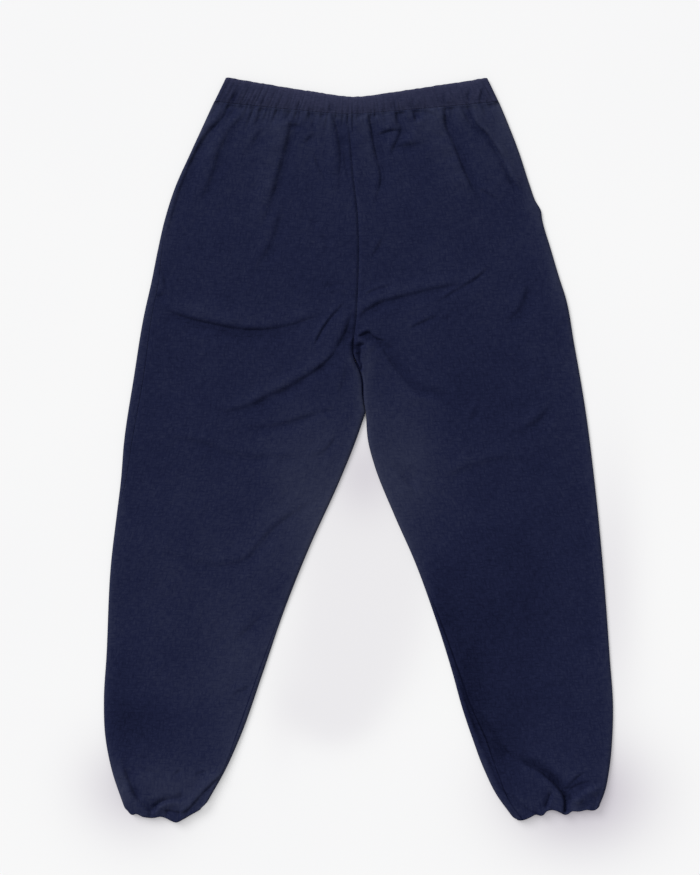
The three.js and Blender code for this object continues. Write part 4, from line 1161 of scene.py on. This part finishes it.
# The slubs' and flecks' real sizes are a third of these: single yarns lie about 0.3 mm apart and
# would be too fine to show, so they are drawn this coarse, in millimetres.
SLUB = {"thick": 2.3, "long": 8, "fleck": 1.3}
CLOUDS = 22.0           # soft clouds of dye, about 45 mm across: so many to a metre
TONE = {"slub": 0.46, "cloud": 0.11, "fleck": 0.09, "mean": 0.310}
NAP = {"fleck": 0.7, "strength": 0.16, "height": 0.4}


def woven_cotton(name, shade, body, painted_light_tone, palest, level, roughness, sheen):
    """Yarn-dyed plain-weave cotton. Matt, with short darker and lighter slubs both ways."""
    material, tree = new_material(name)
    cut = node(tree, "ShaderNodeUVMap", uv_map="cut").outputs[0]
    place = node(tree, "ShaderNodeTexCoord").outputs["Object"]

    def slubs(across, along, seed):
        placed = node(
            tree, "ShaderNodeMapping", {"Vector": cut},
            {"Scale": (1 / (across * MM), 1 / (along * MM), 1), "Location": (seed, seed, 0)},
        )
        return node(
            tree, "ShaderNodeTexNoise", {"Vector": placed.outputs[0]},
            {"Scale": 1.0, "Detail": 2.0, "Roughness": 0.6},
        ).outputs["Fac"]

    def combined(operation, links, values=None):
        return node(tree, "ShaderNodeMath", links, values, operation=operation).outputs[0]

    warp = slubs(SLUB["thick"], SLUB["long"], 3)
    weft = slubs(SLUB["long"], SLUB["thick"], 8)
    fine = slubs(SLUB["fleck"], SLUB["fleck"], 5)
    cloud = node(
        tree, "ShaderNodeTexNoise", {"Vector": place},
        {"Scale": CLOUDS, "Detail": 3.0, "Roughness": 0.55},
    ).outputs["Fac"]
    darker = combined("MINIMUM", {0: warp, 1: weft})
    slubbed = combined("MULTIPLY", {0: darker}, {1: TONE["slub"]})
    clouded = combined("MULTIPLY_ADD", {0: cloud, 2: slubbed}, {1: TONE["cloud"]})
    flecked = combined("MULTIPLY_ADD", {0: fine, 2: clouded}, {1: TONE["fleck"]})
    # The tone moves up the ramp with faded patches and painted light, and down with painted shade.
    fading_and_painted_light = node(tree, "ShaderNodeAttribute", attribute_name="fading_and_painted_light").outputs["Fac"]
    levelled = combined("ADD", {0: fading_and_painted_light}, {1: level - TONE["mean"]})
    tone = combined("ADD", {0: flecked, 1: levelled})
    dye_and_painted_shade = node(
        tree, "ShaderNodeValToRGB", {"Fac": tone},
        stops=[(0.3, shade), (0.5, body), (0.7, painted_light_tone), (1.0, palest)],
    )
    relief = combined("MULTIPLY_ADD", {0: fine, 2: darker}, {1: NAP["fleck"]})
    bumps = node(
        tree, "ShaderNodeBump", {"Height": relief},
        {"Strength": NAP["strength"], "Distance": NAP["height"] * MM},
    )
    shader = node(
        tree, "ShaderNodeBsdfPrincipled",
        {"Base Color": dye_and_painted_shade.outputs["Color"], "Normal": bumps.outputs["Normal"]},
        {"Roughness": roughness, "Specular IOR Level": 0.03, "Sheen Weight": sheen,
         "Sheen Roughness": 0.3, "Sheen Tint": paint("#8a90b4")},
    )
    node(tree, "ShaderNodeOutputMaterial", {"Surface": shader.outputs[0]})
    return material


# Indigo cotton, washed soft: nearly black where shade is painted into the folds, slate where the
# dye has faded and where light is painted on.
INDIGO = woven_cotton(
    "indigo_plain_weave_cotton", "#0c0f23", "#1a1e37", "#2a2e43", "#3d4050", 0.51, 0.92, 0.06)
# The same cloth on the casings, paler and greyer: partly washed by rubbing, partly painted light,
# as more light falls on the top.
WASHED_AND_LIT = woven_cotton(
    "washed_and_lit_casing_cotton", "#12152c", "#22253b", "#31334a", "#42445b", 0.53, 0.94, 0.06)
# Plain navy pocketing, never in the sun: dull and even.
POCKETING = woven_cotton(
    "pocketing_cotton", "#0f1228", "#1c2036", "#242840", "#2c3048", 0.5, 0.94, 0.05)
CORD_PITCH = 1.6        # between the cords of the braid


def braided_elastic(name):
    """Braided polyester elastic: off-white and slightly silky, with fine cords along it."""
    material, tree = new_material(name)
    cut = node(tree, "ShaderNodeUVMap", uv_map="cut").outputs[0]
    pitch = 1 / (CORD_PITCH * MM)
    placed = node(tree, "ShaderNodeMapping", {"Vector": cut}, {"Scale": (pitch, pitch, 1)})
    cords = node(
        tree, "ShaderNodeTexWave", {"Vector": placed.outputs[0]},
        {"Scale": 1.0, "Distortion": 0.4}, bands_direction="Y",
    ).outputs["Fac"]
    ivory = node(
        tree, "ShaderNodeValToRGB", {"Fac": cords}, stops=[(0.0, "#b9b6ad"), (1.0, "#e2dfd6")])
    bumps = node(
        tree, "ShaderNodeBump", {"Height": cords}, {"Strength": 0.5, "Distance": 0.3 * MM})
    shader = node(
        tree, "ShaderNodeBsdfPrincipled",
        {"Base Color": ivory.outputs["Color"], "Normal": bumps.outputs["Normal"]},
        {"Roughness": 0.75, "Specular IOR Level": 0.3, "Sheen Weight": 0.1},
    )
    node(tree, "ShaderNodeOutputMaterial", {"Surface": shader.outputs[0]})
    return material


ELASTIC_BRAID = braided_elastic("braided_polyester_elastic")
PLY_TURNS = 900.0       # the thread's plies turn about once in a millimetre: so many to a metre


def sewing_thread(name):
    """Spun polyester thread in the cloth's own navy, a touch glossier than the cloth."""
    material, tree = new_material(name)
    place = node(tree, "ShaderNodeTexCoord").outputs["Object"]
    ply = node(
        tree, "ShaderNodeTexNoise", {"Vector": place}, {"Scale": PLY_TURNS, "Detail": 1.0},
    ).outputs["Fac"]
    navy = node(
        tree, "ShaderNodeValToRGB", {"Fac": ply}, stops=[(0.0, "#13172b"), (1.0, "#21253b")])
    shader = node(
        tree, "ShaderNodeBsdfPrincipled", {"Base Color": navy.outputs["Color"]},
        {"Roughness": 0.7, "Specular IOR Level": 0.2, "Sheen Weight": 0.05},
    )
    node(tree, "ShaderNodeOutputMaterial", {"Surface": shader.outputs[0]})
    return material


THREAD = sewing_thread("spun_polyester_thread")


# ---- Stitches --------------------------------------------------------------------------------
STITCH_SOCKETS = {
    "Path": "Geometry", "Stitch pitch": "Float", "Stitch length": "Float",
    "Thread radius": "Float", "Seed": "Int", "Thread": "Material",
}
STITCH_SIZES = (0.88, 1.08)     # the stitches vary between these shares of their size


def stitch_tree():
    """Lays one stitch after another along a path."""
    tree = bpy.data.node_groups.new("row_of_stitches", "GeometryNodeTree")
    face = tree.interface
    for label, kind in STITCH_SOCKETS.items():
        face.new_socket(name=label, in_out="INPUT", socket_type="NodeSocket" + kind)
    face.new_socket(name="Stitches", in_out="OUTPUT", socket_type="NodeSocketGeometry")
    given = node(tree, "NodeGroupInput").outputs
    curve = node(tree, "GeometryNodeMeshToCurve", {"Mesh": given["Path"]})
    spaced = node(
        tree, "GeometryNodeResampleCurve",
        {"Curve": curve.outputs["Curve"], "Length": given["Stitch pitch"]}, mode="LENGTH",
    )
    tangent = node(tree, "GeometryNodeInputTangent").outputs[0]
    turned = node(tree, "FunctionNodeAlignRotationToVector", {"Vector": tangent}, axis="X")
    ball = node(
        tree, "GeometryNodeMeshUVSphere", values={"Segments": 8, "Rings": 5, "Radius": 1.0})
    half_length = node(
        tree, "ShaderNodeMath", {0: given["Stitch length"]}, {1: 0.5}, operation="MULTIPLY")
    radius = given["Thread radius"]
    size = node(
        tree, "ShaderNodeCombineXYZ", {"X": half_length.outputs[0], "Y": radius, "Z": radius})
    stitch = node(
        tree, "GeometryNodeTransform", {"Geometry": ball.outputs["Mesh"], "Scale": size.outputs[0]})
    uneven = node(
        tree, "FunctionNodeRandomValue", {"Seed": given["Seed"]},
        dict(zip((2, 3), STITCH_SIZES)), data_type="FLOAT",
    )
    laid = node(
        tree, "GeometryNodeInstanceOnPoints",
        {"Points": spaced.outputs["Curve"], "Instance": stitch.outputs["Geometry"],
         "Rotation": turned.outputs["Rotation"], "Scale": uneven.outputs[1]},
    )
    real = node(tree, "GeometryNodeRealizeInstances", {"Geometry": laid.outputs["Instances"]})
    threaded = node(
        tree, "GeometryNodeSetMaterial",
        {"Geometry": real.outputs["Geometry"], "Material": given["Thread"]},
    )
    node(tree, "NodeGroupOutput", {"Stitches": threaded.outputs["Geometry"]})
    return tree


STITCH_TREE = stitch_tree()


def sew(name, paths, pitch, length, radius, seed):
    """Stitches along one or more paths, as one plain mesh."""
    points = np.concatenate(paths) * MM
    edges, start = [], 0
    for path in paths:
        edges += [(start + k, start + k + 1) for k in range(len(path) - 1)]
        start += len(path)
    guide = bpy.data.meshes.new(name + "_path")
    guide.from_pydata([tuple(p) for p in points], edges, [])
    carrier = in_scene(name + "_path", guide)
    modifier = carrier.modifiers.new("stitches", "NODES")
    modifier.node_group = STITCH_TREE
    wanted = {
        "Stitch pitch": pitch * MM, "Stitch length": length * MM, "Thread radius": radius * MM,
        "Seed": seed, "Thread": THREAD,
    }
    for socket in STITCH_TREE.interface.items_tree:
        if socket.name in wanted:
            modifier[socket.identifier] = wanted[socket.name]
    evaluated = carrier.evaluated_get(bpy.context.evaluated_depsgraph_get())
    mesh = bpy.data.meshes.new_from_object(evaluated)
    bpy.data.objects.remove(carrier)
    mesh.name = name
    mesh.polygons.foreach_set("use_smooth", np.ones(len(mesh.polygons), bool))
    return in_scene(name, mesh)


# ---- Pieces ----------------------------------------------------------------------------------
FRONT_ALONG = stations((66, 0.075), (112, 0.30), (84, 0.385), (174, 0.90), (80, 1))
FRONT_ACROSS = stations((8, 0.03), (92, 0.80), (42, 0.97), (8, 1))
BACK_ALONG = stations((40, 0.075), (220, 0.90), (46, 1))
BACK_ACROSS = stations((10, 0.2), (10, 0.4), (84, 0.6), (10, 0.8), (10, 1))
WAIST_FACE = stations((16, 0.4), (8, 0.6), (5, 1))
ANKLE_FACE = stations((8, 0.4), (8, 0.6), (6, 1))

ANKLE_ROUND = round_stations(120, 12, 70)
ANKLE_ELASTIC_ROUND = round_stations(60, 8, 60)
WAIST_ROUND = round_stations(620, 14, 300)
WAIST_ELASTIC_ROUND = round_stations(320, 8, 160)

pieces = {}
for side, leg in LEGS.items():
    for part, panel, across, along in (
        ("front_leg", front_panel, FRONT_ACROSS, FRONT_ALONG),
        ("back_leg", back_panel, BACK_ACROSS, BACK_ALONG),
    ):
        middle, uv, painted_light_tone = panel(leg, across, along)
        pieces[f"{side}_{part}"] = shell(
            f"{side}_{part}_cloth", middle, CLOTH, uv, INDIGO, painted_light_tone=painted_light_tone)
    plan = ankle_plan(leg)
    middle = band_surface(ANKLE_BAND, plan, ankle_height, ANKLE_ROUND, ANKLE_FACE)[:, ::-1]
    pieces[f"{side}_ankle_casing"] = shell(
        f"{side}_ankle_casing_cloth", middle, ANKLE_CLOTH, ring_map(middle), WASHED_AND_LIT, around=True)
    middle = elastic_surface(
        ANKLE_BAND, plan, ankle_height, ANKLE_BAND["height"], ANKLE_ELASTIC_ROUND,
        stations((6, 1)))[:, ::-1]
    pieces[f"{side}_ankle_elastic"] = shell(
        f"{side}_ankle_elastic_band", middle, ANKLE_ELASTIC, ring_map(middle), ELASTIC_BRAID,
        around=True)

middle = band_surface(WAISTBAND, waist_plan, waist_height, WAIST_ROUND, WAIST_FACE)
pieces["waist_casing"] = shell(
    "waist_casing_cloth", middle, CASING_CLOTH, ring_map(middle), WASHED_AND_LIT, around=True,
    painted_light_tone=painted_waist_light(WAIST_FACE[:, None], middle))
middle = elastic_surface(
    WAISTBAND, waist_plan, waist_height, WAISTBAND["height_at_centre"], WAIST_ELASTIC_ROUND,
    stations((8, 1)))
pieces["waist_elastic"] = shell(
    "waist_elastic_band", middle, ELASTIC, ring_map(middle), ELASTIC_BRAID, around=True)


def pocket_bag(leg):
    """Two layers of pocketing, sewn round, as one flat pouch with softly rounded edges."""
    toward_side = -leg.inward
    top, bottom, corner = POCKET["top_y"], POCKET["bottom_y"], POCKET["corner"]
    u, v = np.meshgrid(*(np.linspace(0, 1, count) for count in POCKET_GRID))
    y = lerp(top, bottom, v)
    side_x = leg.outer_x(y) - toward_side * POCKET["clear_of_side"]
    inner_x = leg.outer_x(top) - toward_side * (POCKET["clear_of_side"] + POCKET["width"])
    down_corner = np.clip(bottom + corner - y, 0, corner) / corner
    cut_in = corner * (1 - np.sqrt(np.clip(1 - down_corner ** 2, 0, 1)))
    x = lerp(inner_x + toward_side * cut_in, side_x - toward_side * cut_in, u)
    from_side = np.minimum(u, 1 - u) * POCKET["width"]
    from_end = np.minimum(v, 1 - v) * (top - bottom)
    filled = smoothstep(np.minimum(from_side, from_end), 0, POCKET["soft_edge"])
    ripple_x, ripple_y = POCKET["ripple"]
    uneven = 1 + POCKET["uneven"] * np.sin(ripple_x * x + ripple_y * y)
    z = POCKET["z"] + POCKET["thick"] / 2 + POCKET["swell"] * filled * uneven
    middle = np.stack([x, y, z], axis=-1)
    uv = np.stack([x * MM, y * MM], axis=-1)
    if leg.side == "left":
        middle, uv = middle[:, ::-1], uv[:, ::-1]
    return shell(f"{leg.side}_pocket_bag_cloth", middle, POCKET["thick"], uv, POCKETING)


for side, leg in LEGS.items():
    pieces[f"{side}_pocket_bag"] = pocket_bag(leg)


# The row of stitches runs in its groove on both sides of the casing, as high up as STITCH_ROW.
STITCHES = {"pitch": 3.3, "length": 2.4, "radius": 0.24, "seed": 3}
STITCH_LINE = {"casing": 22, "span": (0.012, 0.988), "points": 700, "lowest": 0.26}


def waist_stitch_row(run, away):
    """Points on the waist casing's cloth along its stitched groove. away is up or down."""
    level = np.array([STITCH_ROW / STITCH_LINE["casing"] * LAYER])
    round_ = run + np.linspace(*STITCH_LINE["span"], STITCH_LINE["points"])
    row = band_surface(WAISTBAND, waist_plan, waist_height, round_, level)[0]
    row[:, 2] = np.maximum(row[:, 2] + away * CASING_CLOTH / 2, STITCH_LINE["lowest"])
    return row


front_stitches = sew(
    "waist_stitches", [waist_stitch_row(0, 1), waist_stitch_row(2, -1)], **STITCHES)

# ---- Every piece rides on the one body and stands for its solid ---------------------------------
for node_name, piece in pieces.items():
    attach(piece, "root")
    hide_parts(node_name)
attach(front_stitches, "root")


# ---- Floor, light and camera -----------------------------------------------------------------
FLOOR = {"reach": 3000, "shaded": 600, "squares": 120}
# A share of the floor's light is its own glow, painted light that washes out the shadows; under
# and close to the cloth, ambient occlusion holds it back.
FLOOR_GLOW = {"share": 0.6, "kept_back": 0.1, "strength": 1.063, "reach": 6}


def floor_paper():
    """Matt paper that partly glows with painted light: nearly white, with hardly a shadow."""
    material, tree = new_material("matt_paper_with_painted_glow")
    place = node(tree, "ShaderNodeTexCoord").outputs["Object"]
    grain = node(
        tree, "ShaderNodeTexNoise", {"Vector": place}, {"Scale": 3.0, "Detail": 1.0},
    ).outputs["Fac"]
    white = node(
        tree, "ShaderNodeValToRGB", {"Fac": grain}, stops=[(0.0, "#efeff0"), (1.0, "#f2f2f2")])
    # Painted shadow: the floor's shade attribute mixes the paper toward a dim violet.
    fall = node(tree, "ShaderNodeAttribute", attribute_name="shade").outputs["Fac"]
    shaded = node(
        tree, "ShaderNodeMix", {"Factor": fall, "A": white.outputs["Color"]},
        {"B": paint("#5c3270")}, data_type="RGBA",
    ).outputs["Result"]
    paper = node(
        tree, "ShaderNodeBsdfPrincipled", {"Base Color": shaded},
        {"Roughness": 1.0, "Specular IOR Level": 0.0},
    )
    # Painted light: the paper's own glow.
    glow = node(
        tree, "ShaderNodeEmission", {"Color": shaded}, {"Strength": FLOOR_GLOW["strength"]})
    uncovered = node(
        tree, "ShaderNodeAmbientOcclusion", values={"Distance": FLOOR_GLOW["reach"] * MM},
    ).outputs["AO"]
    kept_back = FLOOR_GLOW["kept_back"]
    share = node(
        tree, "ShaderNodeMath", {0: uncovered},
        {1: FLOOR_GLOW["share"] + kept_back, 2: -kept_back},
        operation="MULTIPLY_ADD", use_clamp=True,
    ).outputs[0]
    shader = node(
        tree, "ShaderNodeMixShader", {0: share, 1: paper.outputs[0], 2: glow.outputs[0]})
    node(tree, "ShaderNodeOutputMaterial", {"Surface": shader.outputs[0]})
    return material


def pale_floor():
    """A wide sheet, just under the cloth, with fine squares only where the shade falls."""
    reach, shaded = FLOOR["reach"], FLOOR["shaded"]
    lines = np.concatenate([[-reach], np.linspace(-shaded, shaded, FLOOR["squares"] + 1), [reach]])
    count = len(lines)
    x, y = np.meshgrid(lines, lines)
    points = np.stack([x.ravel(), y.ravel(), np.full(x.size, FLOOR_Z)], axis=-1)
    i, j = np.meshgrid(np.arange(count - 1), np.arange(count - 1))
    corner = (j * count + i).ravel()
    squares = np.stack([corner, corner + 1, corner + count + 1, corner + count], axis=1)
    mesh = bpy.data.meshes.new("floor")
    mesh.from_pydata(points * MM, [], squares)
    between = EVEN_SHADE * np.tanh(patches(BETWEEN_LEGS, points) / EVEN_SHADE)
    point_values(mesh, "shade", patches(FLOOR_SHADE, points) + between)
    mesh.materials.append(floor_paper())
    in_scene("floor", mesh)


pale_floor()

# Soft daylight from the upper left, and an even white room.
SUN = {"from": (-0.52, 0.55, 0.653), "strength": 2.9, "spread": 32}
SKY = 0.47
sun_data = bpy.data.lights.new("soft_key", "SUN")
sun_data.energy = SUN["strength"]
sun_data.angle = math.radians(SUN["spread"])
sun = in_scene("soft_key", sun_data)
sun.rotation_mode = "QUATERNION"
sun.rotation_quaternion = Vector(SUN["from"]).to_track_quat("Z", "Y")

world = bpy.data.worlds.new("studio")
bpy.context.scene.world = world
world.use_nodes = True
world.node_tree.nodes.clear()
sky = node(
    world.node_tree, "ShaderNodeBackground", values={"Color": (1, 1, 1, 1), "Strength": SKY})
node(world.node_tree, "ShaderNodeOutputWorld", {"Surface": sky.outputs[0]})

# The camera looks straight down. height is what it takes in at the level of the cloth.
VIEW = {"middle": (-10.5, 14.3), "height": 1085, "distance": 2600, "cloth_top": 5, "sensor": 36}
camera_data = bpy.data.cameras.new("camera")
camera_data.sensor_width = VIEW["sensor"]
camera_data.lens = VIEW["sensor"] * VIEW["distance"] / VIEW["height"]
camera_data.clip_end = 20
camera = in_scene("camera", camera_data)
camera.location = Vector((*VIEW["middle"], VIEW["distance"] + VIEW["cloth_top"])) * MM
bpy.context.scene.camera = camera
bpy.context.scene.view_settings.view_transform = "Standard"
